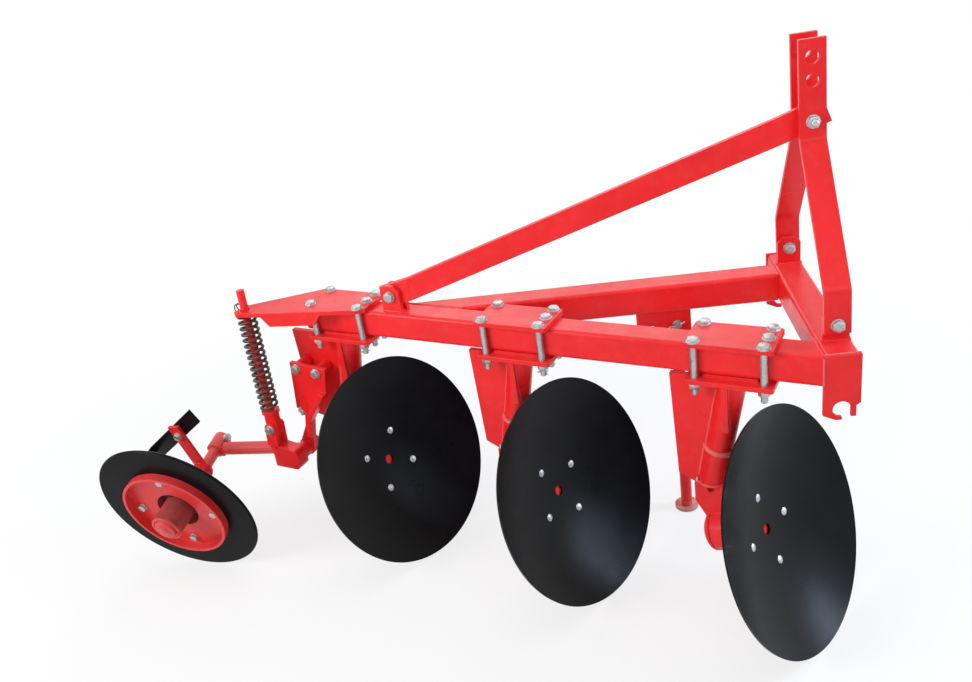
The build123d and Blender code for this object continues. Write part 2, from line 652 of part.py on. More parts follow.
            Cylinder(
                2 * HUB_FLANGE_R, 2 * HUB_FLANGE_R, align=(Align.CENTER, Align.CENTER, Align.MIN),
                mode=Mode.SUBTRACT,
            )
    save(housing.part, "bearing_housing" + name)

# Tail plate: the last clamp's top, drawn out to carry the spring rod, ribbed under its edge
rod_top = on_beam(LAST + ROD_HEAD[0], ROD_HEAD[1], TUBE_TOP + ROD_ABOVE)
rod_pin = on_beam(LAST + ROD_FOOT[0], ROD_FOOT[1], PIVOT_Z + PIVOT_TO_PIN)
rod = Plane(origin=rod_pin, x_dir=ALONG, z_dir=(rod_top - rod_pin).normalized())
rod_length = (rod_top - rod_pin).length
PLATE_HALF = CLAMP_LENGTH / 2
edge_from = on_beam(LAST - PLATE_HALF + CLAMP_SIDE, CLAMP_SIDE, TUBE_TOP + TOUCH)
edge_run = (on_beam(LAST + TIP_NEAR[0], TIP_NEAR[1], TUBE_TOP + TOUCH) - edge_from).normalized()
with BuildPart() as tail_plate:
    with BuildSketch(flat_plane(TUBE_TOP + TOUCH)):
        Polygon(
            (LAST - PLATE_HALF, -TUBE - CLAMP_SIDE),
            (LAST - PLATE_HALF, CLAMP_SIDE / 3),
            (LAST - PLATE_HALF + CLAMP_SIDE, CLAMP_SIDE),
            (LAST + TIP_NEAR[0], TIP_NEAR[1]),
            (LAST + TIP_END[0], TIP_END[1]),
            (LAST + TIP_FAR[0], TIP_FAR[1]),
            (LAST + PLATE_HALF, -TUBE - CLAMP_SIDE),
            align=None,
        )
        with Locations(*bolt_spots(LAST)):
            Circle(CLAMP_BOLT / 2 + PIN_GAP, mode=Mode.SUBTRACT)
    extrude(amount=CLAMP_THICK)
    with BuildSketch(Plane(origin=edge_from, x_dir=edge_run, z_dir=edge_run.cross(UP))):
        Polygon(
            (TAIL_RIB_FROM, 0), (TAIL_RIB_TO, 0),
            (TAIL_RIB_TO - TAIL_RIB_SLOPE, -TAIL_RIB_DEEP), (TAIL_RIB_FROM + TAIL_RIB_SLOPE, -TAIL_RIB_DEEP),
            align=None,
        )
    extrude(amount=TAIL_RIB)
    with Locations(rod):
        Cylinder(ROD_R + BORE_GAP, 3 * rod_length, mode=Mode.SUBTRACT)
save(tail_plate.part, "tail_plate")

# Spring rod: block pinned between the arm's lugs, rod free to slide through the tail plate
with BuildPart() as spring_rod:
    with Locations(rod.offset(SPRING_FROM)):
        Cylinder(ROD_R, rod_length - SPRING_FROM, align=(Align.CENTER, Align.CENTER, Align.MIN))
        Cylinder(SEAT_R, ROD_COLLAR, align=(Align.CENTER, Align.CENTER, Align.MAX))
    with Locations(rod.offset(-ROD_BLOCK_END)):
        Box(
            ROD_BLOCK_WIDE, ROD_BLOCK, SPRING_FROM + ROD_BLOCK_END - ROD_COLLAR / 2,
            align=(Align.CENTER, Align.CENTER, Align.MIN),
        )
    with Locations(Plane(origin=rod_pin, z_dir=rod.y_dir)):
        Cylinder(CLAMP_BOLT / 2 + PIN_GAP, 4 * ROD_BLOCK, mode=Mode.SUBTRACT)
save(spring_rod.part, "spring_rod")

with BuildPart() as fork_pin:
    with Locations(Plane(origin=rod_pin, z_dir=rod.y_dir)):
        Cylinder(CLAMP_BOLT / 2, ROD_BLOCK + 2 * (LUG + TOUCH) + BOLT_SPARE)
save(fork_pin.part, "fork_pin")

# Coil spring between the rod's collar and a washer under the tail plate
rod_slope = sqrt(1 - rod.z_dir.Z ** 2)
plate_at = (TUBE_TOP + TOUCH - rod_pin.Z) / rod.z_dir.Z
washer_at = plate_at - SEAT_R * rod_slope - TOUCH
with BuildPart() as spring_washer:
    with Locations(rod.offset(washer_at)):
        Cylinder(SEAT_R, SEAT, align=(Align.CENTER, Align.CENTER, Align.MAX))
        Cylinder(ROD_R + TOUCH, SEAT, align=(Align.CENTER, Align.CENTER, Align.MAX), mode=Mode.SUBTRACT)
save(spring_washer.part, "spring_washer")

coil_from = SPRING_FROM + WIRE_R + TOUCH
coil_length = washer_at - SEAT - WIRE_R - TOUCH - coil_from
with BuildPart() as spring:
    with BuildLine() as coil:
        Helix(
            pitch=coil_length / COILS, height=coil_length, radius=COIL_R,
            center=rod_pin + rod.z_dir * coil_from, direction=rod.z_dir,
        )
    with BuildSketch(Plane(origin=coil.line @ 0, z_dir=coil.line % 0)):
        Circle(WIRE_R)
    sweep(is_frenet=True)
save(spring.part, "spring")

# Tail bracket: stands off the last leg plate on two tubes, carries the arm's pivot barrel
PIVOT = (LAST + PIVOT_BACK, PIVOT_Z)
bracket_spots = [(LAST + back, LEG_TOP - drop) for back, drop in BRACKET_BOLTS]
with BuildPart() as standoffs:
    with BuildSketch(side_plane(BRACKET_OUT - BRACKET_THICK - TOUCH)):
        with Locations(*bracket_spots):
            Circle(STANDOFF_R)
            Circle(CLAMP_BOLT / 2 + PIN_GAP, mode=Mode.SUBTRACT)
    extrude(amount=BRACKET_OUT - BRACKET_THICK - LEG_OUT - LEG_PLATE / 2 - 2 * TOUCH)
save(standoffs.part, "standoffs")

bracket_front = [(LAST + back, PIVOT_Z + rise) for back, rise in BRACKET_FRONT]
bracket_rear = [(LAST + back, PIVOT_Z + rise) for back, rise in BRACKET_REAR]
with BuildPart() as tail_bracket:
    with BuildSketch(side_plane(BRACKET_OUT)):
        Polygon(
            *[(LAST + back, LEG_TOP - drop) for back, drop in BRACKET_TOP],
            *bracket_rear,
            (PIVOT[0] + BARREL_R, PIVOT_Z + BARREL_R / 3),
            (PIVOT[0] - BARREL_R, PIVOT_Z - BARREL_R / 3),
            *bracket_front[1:],
            align=None,
        )
        with Locations(*bracket_spots):
            Circle(CLAMP_BOLT / 2 + PIN_GAP, mode=Mode.SUBTRACT)
        with Locations(PIVOT):
            Circle(BARREL_R)
    extrude(amount=BRACKET_THICK)
    with BuildSketch(side_plane(BRACKET_OUT)):
        Polygon(
            *bracket_front,
            *[(back + FLANGE_WIDE, rise + FLANGE_WIDE / 3) for back, rise in bracket_front[::-1]],
            align=None,
        )
    extrude(amount=-FLANGE_DEEP)
    with BuildSketch(side_plane(YOKE_IN - TOUCH)):
        with Locations(PIVOT):
            Circle(BARREL_R)
    extrude(amount=YOKE_IN)
save(tail_bracket.part, "tail_bracket")

# Tail wheel frame: its outer side faces right, slightly back and down
wheel_turn = radians(WHEEL_TURN)
wheel_lean = radians(WHEEL_LEAN)
WHEEL_FACE = Vector(
    cos(wheel_lean) * cos(wheel_turn), -cos(wheel_lean) * sin(wheel_turn), -sin(wheel_lean),
)
WHEEL_Z = WHEEL_R * cos(wheel_lean) + (RIM_THICK / 2 - RIM_BEVEL) * sin(wheel_lean)
wheel_centre = on_beam(LAST + WHEEL_BACK, WHEEL_OUT, WHEEL_Z)
wheel = Plane(origin=wheel_centre, x_dir=UP.cross(WHEEL_FACE), z_dir=WHEEL_FACE)
socket_at = wheel_centre - WHEEL_FACE * AXLE_TOP

# Sprung arm: yoke at the pivot, tube back to the axle socket
yoke_mid = (YOKE_IN + YOKE_OUT) / 2
arm_start = on_beam(PIVOT[0] + YOKE_BACK, yoke_mid, PIVOT_Z + ARM_UP)
with BuildPart() as arm_yoke:
    with BuildSketch(side_plane(YOKE_OUT)) as yoke_side:
        Polygon(
            (PIVOT[0] - YOKE_NOSE, PIVOT_Z - YOKE_BELOW),
            (PIVOT[0] + YOKE_BACK, PIVOT_Z - YOKE_BELOW),
            (PIVOT[0] + YOKE_BACK, PIVOT_Z + YOKE_TOP),
            (PIVOT[0] - YOKE_NOSE, PIVOT_Z + YOKE_TOP - YOKE_SLOPE),
            align=None,
        )
        fillet(yoke_side.vertices().sort_by(Axis.X)[:2], YOKE_ROUND)
    extrude(amount=YOKE_OUT - YOKE_IN)
    for lug_from in (ROD_BLOCK / 2 + TOUCH + LUG, -ROD_BLOCK / 2 - TOUCH):
        lug_at = rod_pin + rod.y_dir * lug_from
        with BuildSketch(Plane(origin=lug_at, x_dir=ALONG, z_dir=rod.y_dir * -1)):
            Circle(LUG_R)
            Rectangle(2 * LUG_R, PIVOT_TO_PIN - YOKE_TOP - TOUCH, align=(Align.CENTER, Align.MAX))
            with Locations((YOKE_BACK + PIVOT_BACK - ROD_FOOT[0], 0)):
                Rectangle(LUG_R, PIVOT_TO_PIN - YOKE_TOP + LUG, align=(Align.MAX, Align.MAX))
            Circle(CLAMP_BOLT / 2 + PIN_GAP, mode=Mode.SUBTRACT)
        extrude(amount=LUG)
save(arm_yoke.part, "arm_yoke")

arm_run = (socket_at - arm_start).normalized()
with BuildPart() as tail_arm:
    with Locations(rod_plane(arm_start - arm_run * ARM_R, socket_at)):
        Cylinder(ARM_R, (socket_at - arm_start).length + ARM_R, align=(Align.CENTER, Align.CENTER, Align.MIN))
    with BuildSketch(side_plane(YOKE_OUT + ARM_R)):
        with Locations((PIVOT[0] + YOKE_BACK + TOUCH, PIVOT_Z)):
            Rectangle(8 * ARM_R, 8 * ARM_R, align=(Align.MAX, Align.CENTER))
    extrude(amount=YOKE_OUT - YOKE_IN + 2 * ARM_R, mode=Mode.SUBTRACT)
    with Locations(Plane(origin=socket_at, z_dir=WHEEL_FACE)):
        Cylinder(AXLE_R + SOCKET_WALL + TOUCH, 4 * SOCKET, mode=Mode.SUBTRACT)
save(tail_arm.part, "tail_arm")

# Axle socket: closed and rounded above, the axle pinched in it
with BuildPart() as axle_socket:
    with Locations(Plane(origin=socket_at - WHEEL_FACE * SOCKET_UP, z_dir=WHEEL_FACE)):
        Cylinder(AXLE_R + SOCKET_WALL, SOCKET)
    socket_rims = axle_socket.edges().filter_by(GeomType.CIRCLE).sort_by(Axis(socket_at, WHEEL_FACE))
    fillet(socket_rims[0], SOCKET_ROUND)
    with Locations(wheel.offset(-AXLE_TOP - SOCKET_UP - SOCKET / 2 + SOCKET_WALL)):
        Cylinder(
            AXLE_R + PIN_GAP, 2 * SOCKET, align=(Align.CENTER, Align.CENTER, Align.MIN), mode=Mode.SUBTRACT,
        )
save(axle_socket.part, "axle_socket")

AXLE_FROM = AXLE_TOP + SOCKET_UP + SOCKET / 2 - SOCKET_WALL - TOUCH
with BuildPart() as wheel_axle:
    with Locations(wheel.offset(-AXLE_FROM)):
        Cylinder(
            AXLE_R, AXLE_FROM + HUB_FRONT - HUB_CAP - TOUCH, align=(Align.CENTER, Align.CENTER, Align.MIN),
        )
save(wheel_axle.part, "wheel_axle")

# Tail wheel: flat rim welded round a dished drum, drum bolted to the hub's bell
with BuildPart() as wheel_rim:
    with Locations(wheel):
        Cylinder(WHEEL_R, RIM_THICK)
        Cylinder(DRUM_R + TOUCH, RIM_THICK, mode=Mode.SUBTRACT)
    chamfer(wheel_rim.edges().filter_by(GeomType.CIRCLE).sort_by(SortBy.RADIUS)[-2:], RIM_BEVEL)
save(wheel_rim.part, "wheel_rim")

DRUM_BACK = -RIM_THICK / 2
with BuildPart() as wheel_drum:
    with Locations(wheel.offset(DRUM_BACK)):
        Cylinder(DRUM_R, RIM_THICK + DRUM_RISE, align=(Align.CENTER, Align.CENTER, Align.MIN))
        Cylinder(DRUM_EYE, DRUM_FLOOR, align=(Align.CENTER, Align.CENTER, Align.MIN), mode=Mode.SUBTRACT)
    with Locations(wheel.offset(DRUM_BACK + DRUM_FLOOR)):
        Cylinder(
            DRUM_R - DRUM_WALL, RIM_THICK + DRUM_RISE, align=(Align.CENTER, Align.CENTER, Align.MIN),
            mode=Mode.SUBTRACT,
        )
save(wheel_drum.part, "wheel_drum")

with BuildPart() as wheel_hub:
    with Locations(wheel.offset(-HUB_REAR)):
        Cylinder(WHEEL_HUB_R, HUB_REAR + HUB_FRONT, align=(Align.CENTER, Align.CENTER, Align.MIN))
    with Locations(wheel.offset(DRUM_BACK - TOUCH)):
        Cylinder(WHEEL_FLANGE_R, WHEEL_FLANGE, align=(Align.CENTER, Align.CENTER, Align.MAX))
        Cylinder(DRUM_EYE + BELL_WALL, BELL_DEEP + BELL_WALL, align=(Align.CENTER, Align.CENTER, Align.MAX))
    with BuildSketch(wheel.offset(DRUM_BACK - TOUCH)):
        Circle(DRUM_EYE)
        Circle(WHEEL_HUB_R, mode=Mode.SUBTRACT)
    extrude(amount=-BELL_DEEP, mode=Mode.SUBTRACT)
    with Locations(wheel.offset(-HUB_REAR)):
        Cylinder(
            AXLE_R + TOUCH, HUB_REAR + HUB_FRONT - HUB_CAP, align=(Align.CENTER, Align.CENTER, Align.MIN),
            mode=Mode.SUBTRACT,
        )
save(wheel_hub.part, "wheel_hub")

# Scraper: flat bar on a collar round the axle, bent blade reaching in to the rim
bolt_reach = sqrt(SCRAPER_BOLT[0] ** 2 + SCRAPER_BOLT[1] ** 2)
bar_way = (wheel.x_dir * SCRAPER_BOLT[0] + wheel.y_dir * SCRAPER_BOLT[1]).normalized()
scraper_bolt = wheel.from_local_coords((SCRAPER_BOLT[0], SCRAPER_BOLT[1], -SCRAPER_AT))
with BuildPart() as scraper_arm:
    with Locations(Plane(origin=wheel_centre - WHEEL_FACE * SCRAPER_AT, x_dir=bar_way, z_dir=WHEEL_FACE)):
        Box(
            bolt_reach + SCRAPER_MORE, SCRAPER_BAR, SCRAPER_THICK, align=(Align.MIN, Align.CENTER, Align.MIN),
        )
        Cylinder(AXLE_R + COLLAR_WALL, COLLAR, align=(Align.CENTER, Align.CENTER, Align.MIN))
        Cylinder(AXLE_R + PIN_GAP, 2 * COLLAR, mode=Mode.SUBTRACT)
    with Locations(Plane(origin=scraper_bolt, z_dir=WHEEL_FACE)):
        Cylinder(STAND_PIN_R + PIN_GAP, 4 * SCRAPER_THICK, mode=Mode.SUBTRACT)
save(scraper_arm.part, "scraper_arm")

blade_turn = radians(BLADE_TURN)
blade = Plane(
    origin=scraper_bolt - WHEEL_FACE * TOUCH,
    x_dir=wheel.x_dir * cos(blade_turn) + wheel.y_dir * sin(blade_turn), z_dir=WHEEL_FACE,
)
with BuildPart() as scraper_blade:
    with BuildSketch(blade):
        Polygon(
            (-BLADE_DOWN, BLADE_ABOVE - BLADE_WIDE / 2), (BLADE_UP - BLADE_CUT, BLADE_ABOVE - BLADE_WIDE / 2),
            (BLADE_UP, BLADE_ABOVE + BLADE_WIDE / 2), (-BLADE_DOWN, BLADE_ABOVE + BLADE_WIDE / 2),
            align=None,
        )
        Circle(STAND_PIN_R + PIN_GAP, mode=Mode.SUBTRACT)
    extrude(amount=-BLADE_THICK)
    with BuildSketch(blade):
        with Locations((-BLADE_DOWN, BLADE_ABOVE)):
            Rectangle(BLADE_THICK, BLADE_WIDE / 2, align=(Align.MIN, Align.MIN))
    extrude(amount=SCRAPER_AT + TOUCH - RIM_THICK / 2 - RUN - TOUCH)
save(scraper_blade.part, "scraper_blade")

# Parking stand: bracket plates under the brace, leg that folds back about the pin
STAND_PIN_Z = TUBE_LOW - STAND_DROP
STAND_PIN = brace.from_local_coords((STAND_BACK, 0, STAND_PIN_Z))
STAND_AXIS = brace.y_dir * -1
PLATE_OFF = STAND_R + STAND_GAP + STAND_PLATE / 2
with BuildPart() as stand_bracket:
    for side in (-1, 1):
        middle = brace.from_local_coords((0, side * PLATE_OFF, 0))
        with BuildSketch(Plane(origin=middle, x_dir=brace.x_dir, z_dir=STAND_AXIS)):
            with Locations((STAND_BACK - STAND_EDGE, TUBE_LOW - TOUCH)):
                Rectangle(
                    STAND_HOLE_STEP + 2 * STAND_EDGE, STAND_DROP + STAND_BELOW - TOUCH,
                    align=(Align.MIN, Align.MAX),
                )
            with Locations((STAND_BACK, STAND_PIN_Z), (STAND_BACK + STAND_HOLE_STEP, STAND_PIN_Z)):
                Circle(STAND_PIN_R + PIN_GAP, mode=Mode.SUBTRACT)
        extrude(amount=STAND_PLATE / 2, both=True)
save(stand_bracket.part, "stand_bracket")

with BuildPart() as stand_pin:
    with Locations(Plane(origin=STAND_PIN, z_dir=STAND_AXIS)):
        Cylinder(STAND_PIN_R, 2 * (PLATE_OFF + STAND_PLATE / 2 + STAND_PIN_SPARE))
save(stand_pin.part, "stand_pin")

with BuildPart() as stand_leg:
    with Locations((STAND_PIN.X, STAND_PIN.Y, 0)):
        Cylinder(STAND_R, STAND_PIN_Z + STAND_BELOW, align=(Align.CENTER, Align.CENTER, Align.MIN))
        Cylinder(STAND_FOOT_R, STAND_FOOT, align=(Align.CENTER, Align.CENTER, Align.MIN))
    with Locations(Plane(origin=STAND_PIN, z_dir=STAND_AXIS)):
        Cylinder(STAND_PIN_R + PIN_GAP, 8 * STAND_R, mode=Mode.SUBTRACT)
save(stand_leg.part, "stand_leg")
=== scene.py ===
"""Dresses the mounted disc plough: paint, fasteners, weld beads, camera and studio."""
import json
import math

import bmesh
import bpy
from mathutils import Matrix, Vector


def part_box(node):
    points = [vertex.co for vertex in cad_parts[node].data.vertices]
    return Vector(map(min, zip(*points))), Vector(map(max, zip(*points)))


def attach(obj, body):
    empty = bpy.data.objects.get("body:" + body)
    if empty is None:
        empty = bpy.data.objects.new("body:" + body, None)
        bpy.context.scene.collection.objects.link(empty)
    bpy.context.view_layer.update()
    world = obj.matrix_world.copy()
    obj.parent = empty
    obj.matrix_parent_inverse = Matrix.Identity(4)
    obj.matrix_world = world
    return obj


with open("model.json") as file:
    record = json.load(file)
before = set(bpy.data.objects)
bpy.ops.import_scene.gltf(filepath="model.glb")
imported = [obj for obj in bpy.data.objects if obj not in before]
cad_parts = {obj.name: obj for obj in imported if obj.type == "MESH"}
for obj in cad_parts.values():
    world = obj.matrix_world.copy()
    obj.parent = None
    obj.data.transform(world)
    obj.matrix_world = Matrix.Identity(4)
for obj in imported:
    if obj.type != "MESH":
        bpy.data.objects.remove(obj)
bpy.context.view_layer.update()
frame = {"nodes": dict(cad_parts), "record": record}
nodes = frame["nodes"]
record = frame["record"]
JOINTS = {joint["name"]: joint for joint in record["behaviour"]["joints"]}


def pivot(joint):
    return Vector(JOINTS[joint]["pos_m"])


def axis_of(joint):
    return Vector(JOINTS[joint]["axis"]).normalized()


# Camera and studio

IMAGE_WIDTH = 972.0
FOCAL_PIXELS = 954.3
CAMERA_AT = Vector((0.3698, -1.7848, 1.5069))
CAMERA_RIGHT = Vector((0.988711, 0.055937, -0.139))
CAMERA_UP = Vector((0.099697, 0.446922, 0.889))
CAMERA_BACK = Vector((0.11185, -0.892822, 0.4363))
FLOOR_NEAR = 0.9       # radius of plain floor under the plough
FLOOR_GLOW = 0.72      # share of plain white in the floor under the plough
FLOOR_FAR = 2.2        # radius where the floor has faded into the backdrop
FLOOR_HALF = 14.0      # half the floor's side
FILL_LIGHT = 0.34      # the world's light on the plough
SENSOR_WIDTH = 36.0


def place_camera():
    data = bpy.data.cameras.new("camera")
    data.sensor_width = SENSOR_WIDTH
    data.lens = data.sensor_width * FOCAL_PIXELS / IMAGE_WIDTH
    data.clip_end = 100.0
    camera = bpy.data.objects.new("camera", data)
    bpy.context.scene.collection.objects.link(camera)
    turn = Matrix((CAMERA_RIGHT, CAMERA_UP, CAMERA_BACK)).transposed().to_4x4()
    camera.matrix_world = Matrix.Translation(CAMERA_AT) @ turn
    bpy.context.scene.camera = camera


def soft_box(name, at, aim, size, power, colour=(1.0, 1.0, 1.0)):
    data = bpy.data.lights.new(name, "AREA")
    data.shape = "RECTANGLE"
    data.size, data.size_y = size
    data.energy = power
    data.color = colour
    lamp = bpy.data.objects.new(name, data)
    bpy.context.scene.collection.objects.link(lamp)
    lamp.location = at
    lamp.rotation_euler = (Vector(aim) - Vector(at)).to_track_quat("-Z", "Y").to_euler()


def seen_directly(tree):
    """One where a camera, mirror or glass ray arrives, nought for light that scatters."""
    rays = tree.nodes.new("ShaderNodeLightPath")
    total = rays.outputs["Is Camera Ray"]
    for kind in ("Is Glossy Ray", "Is Transmission Ray"):
        both = tree.nodes.new("ShaderNodeMath")
        both.operation = "MAXIMUM"
        tree.links.new(total, both.inputs[0])
        tree.links.new(rays.outputs[kind], both.inputs[1])
        total = both.outputs["Value"]
    return total


def light_world():
    world = bpy.data.worlds.new("studio")
    bpy.context.scene.world = world
    world.use_nodes = True
    tree = world.node_tree
    tree.nodes.clear()
    fill = tree.nodes.new("ShaderNodeBackground")
    fill.inputs["Color"].default_value = (0.94, 0.97, 1.0, 1.0)
    fill.inputs["Strength"].default_value = FILL_LIGHT
    white = tree.nodes.new("ShaderNodeBackground")
    white.inputs["Color"].default_value = (1.0, 1.0, 1.0, 1.0)
    white.inputs["Strength"].default_value = 1.0
    mix = tree.nodes.new("ShaderNodeMixShader")
    tree.links.new(seen_directly(tree), mix.inputs["Fac"])
    tree.links.new(fill.outputs[0], mix.inputs[1])
    tree.links.new(white.outputs[0], mix.inputs[2])
    out = tree.nodes.new("ShaderNodeOutputWorld")
    tree.links.new(mix.outputs["Shader"], out.inputs["Surface"])


def lay_floor():
    mesh = bpy.data.meshes.new("floor")
    bm = bmesh.new()
    bmesh.ops.create_grid(bm, x_segments=1, y_segments=1, size=FLOOR_HALF)
    bm.to_mesh(mesh)
    bm.free()
    floor = bpy.data.objects.new("floor", mesh)
    bpy.context.scene.collection.objects.link(floor)
    pale = bpy.data.materials.new("pale_floor")
    pale.use_nodes = True
    tree = pale.node_tree
    shader = tree.nodes["Principled BSDF"]
    shader.inputs["Base Color"].default_value = (0.92, 0.92, 0.92, 1.0)
    shader.inputs["Roughness"].default_value = 0.9
    shader.inputs["Specular IOR Level"].default_value = 0.0
    glow = tree.nodes.new("ShaderNodeEmission")
    coords = tree.nodes.new("ShaderNodeTexCoord")
    reach = tree.nodes.new("ShaderNodeVectorMath")
    reach.operation = "LENGTH"
    fade = tree.nodes.new("ShaderNodeMapRange")
    fade.interpolation_type = "SMOOTHSTEP"
    fade.inputs["From Min"].default_value = FLOOR_NEAR
    fade.inputs["From Max"].default_value = FLOOR_FAR
    fade.inputs["To Min"].default_value = FLOOR_GLOW
    both = tree.nodes.new("ShaderNodeMath")
    both.operation = "MULTIPLY"
    mix = tree.nodes.new("ShaderNodeMixShader")
    tree.links.new(coords.outputs["Object"], reach.inputs[0])
    tree.links.new(reach.outputs["Value"], fade.inputs["Value"])
    tree.links.new(fade.outputs["Result"], both.inputs[0])
    tree.links.new(seen_directly(tree), both.inputs[1])
    tree.links.new(both.outputs["Value"], mix.inputs["Fac"])
    tree.links.new(shader.outputs["BSDF"], mix.inputs[1])
    tree.links.new(glow.outputs["Emission"], mix.inputs[2])
    tree.links.new(mix.outputs["Shader"], tree.nodes["Material Output"].inputs["Surface"])
    floor.data.materials.append(pale)


place_camera()
light_world()
lay_floor()
soft_box("overhead", (0.2, -0.4, 4.2), (0.0, 0.0, 0.3), (3.6, 3.0), 40.0, (0.96, 0.98, 1.0))
soft_box("left_key", (-3.3, -1.7, 2.3), (0.0, 0.0, 0.4), (1.8, 1.8), 108.0)
soft_box("right_key", (1.6, -3.6, 2.4), (0.0, 0.0, 0.4), (2.0, 2.0), 24.0)
soft_box("front_sky", (3.3, 0.2, 1.5), (0.4, 0.0, 0.1), (0.75, 2.0), 78.0, (0.62, 0.79, 1.0))
soft_box("behind", (0.0, 3.6, 2.8), (0.0, 0.0, 0.5), (3.0, 2.0), 28.0)
bpy.context.scene.view_settings.view_transform = "Standard"


# Finishes

RED_DEEP, RED_BRIGHT = (0.78, 0.013, 0.016), (0.90, 0.019, 0.022)
RED_CHALK, RED_DUST_AND_SHEEN = (0.78, 0.20, 0.18), (0.86, 0.38, 0.36)
RED_EDGE, RED_SCUFF = (0.86, 0.13, 0.12), (0.60, 0.34, 0.31)
# The first colour is grease, and painted shade, round the tail wheel's axle.
GREASE_AND_SHADE, CHIP = (0.085, 0.045, 0.042), (0.21, 0.10, 0.085)
BLACK_DEEP, BLACK_HAZE = (0.003, 0.0031, 0.0038), (0.0055, 0.006, 0.0075)
BLACK_DUST, BARE_STEEL_AND_HIGHLIGHT = (0.026, 0.026, 0.028), (0.085, 0.085, 0.09)
ZINC_DULL, ZINC_BRIGHT, ZINC_GRIME = (0.40, 0.41, 0.42), (0.56, 0.57, 0.57), (0.20, 0.175, 0.15)
WIRE_DARK, WIRE_SCALE = (0.030, 0.024, 0.020), (0.095, 0.078, 0.062)
WIRE_RUBBED = (0.19, 0.165, 0.14)
EDGE_FLAT, EDGE_SHARP = 0.985, 0.80      # cosines where an edge begins and is full
GREASE_AND_SHADE_FROM = 0.054                      # radius round the axle that is darkened all over: grease, and painted shade on the hub and in the drum's hollow


def node(tree, kind, **settings):
    made = tree.nodes.new(kind)
    for key, value in settings.items():
        setattr(made, key, value)
    return made


def speckle(tree, coords, scale, detail=2.0, roughness=0.5):
    """Cloudy noise, 0 to 1, with a given number of clouds to the metre."""
    noise = node(tree, "ShaderNodeTexNoise")
    noise.inputs["Scale"].default_value = scale
    noise.inputs["Detail"].default_value = detail
    noise.inputs["Roughness"].default_value = roughness
    tree.links.new(coords, noise.inputs["Vector"])
    return noise.outputs["Fac"]


def span(tree, value, low, high, to_low=0.0, to_high=1.0):
    """Stretches part of a value's range to another range, held at its ends."""
    stretch = node(tree, "ShaderNodeMapRange")
    stretch.inputs["From Min"].default_value = low
    stretch.inputs["From Max"].default_value = high
    stretch.inputs["To Min"].default_value = to_low
    stretch.inputs["To Max"].default_value = to_high
    tree.links.new(value, stretch.inputs["Value"])
    return stretch.outputs["Result"]


def times(tree, first, second):
    product = node(tree, "ShaderNodeMath", operation="MULTIPLY")
    tree.links.new(first, product.inputs[0])
    tree.links.new(second, product.inputs[1])
    return product.outputs["Value"]


def coat_over(tree, amount, under, over):
    """Lays one colour over another by an amount; colours are sockets or plain values."""
    mix = node(tree, "ShaderNodeMix", data_type="RGBA")
    tree.links.new(amount, mix.inputs["Factor"])
    for colour, socket in ((under, mix.inputs[6]), (over, mix.inputs[7])):
        if isinstance(colour, tuple):
            socket.default_value = (*colour, 1.0)
        else:
            tree.links.new(colour, socket)
    return mix.outputs[2]


def rounded_normal(tree, radius):
    soft = node(tree, "ShaderNodeBevel", samples=6)
    soft.inputs["Radius"].default_value = radius
    return soft.outputs["Normal"]


def edge_mask(tree, radius):
    """One along sharp edges, nought on flat faces."""
    soft = rounded_normal(tree, radius)
    flat = node(tree, "ShaderNodeNewGeometry")
    turn = node(tree, "ShaderNodeVectorMath", operation="DOT_PRODUCT")
    tree.links.new(soft, turn.inputs[0])
    tree.links.new(flat.outputs["Normal"], turn.inputs[1])
    return span(tree, turn.outputs["Value"], EDGE_FLAT, EDGE_SHARP)


def raise_bumps(tree, height, strength, depth, normal=None):
    bump = node(tree, "ShaderNodeBump")
    bump.inputs["Strength"].default_value = strength
    bump.inputs["Distance"].default_value = depth
    tree.links.new(height, bump.inputs["Height"])
    if normal is not None:
        tree.links.new(normal, bump.inputs["Normal"])
    return bump.outputs["Normal"]


def near_axle(tree, coords, joint, inside, outside):
    """One close to a joint's axis, fading to nought between two radii."""
    shift = node(tree, "ShaderNodeVectorMath", operation="SUBTRACT")
    shift.inputs[1].default_value = pivot(joint)
    across = node(tree, "ShaderNodeVectorMath", operation="CROSS_PRODUCT")
    across.inputs[1].default_value = axis_of(joint)
    radius = node(tree, "ShaderNodeVectorMath", operation="LENGTH")
    tree.links.new(coords, shift.inputs[0])
    tree.links.new(shift.outputs["Vector"], across.inputs[0])
    tree.links.new(across.outputs["Vector"], radius.inputs[0])
    return span(tree, radius.outputs["Value"], inside, outside, 1.0, 0.0)


def new_finish(name):
    material = bpy.data.materials.new(name)
    material.use_nodes = True
    tree = material.node_tree
    coords = node(tree, "ShaderNodeTexCoord").outputs["Object"]
    return material, tree, tree.nodes["Principled BSDF"], coords


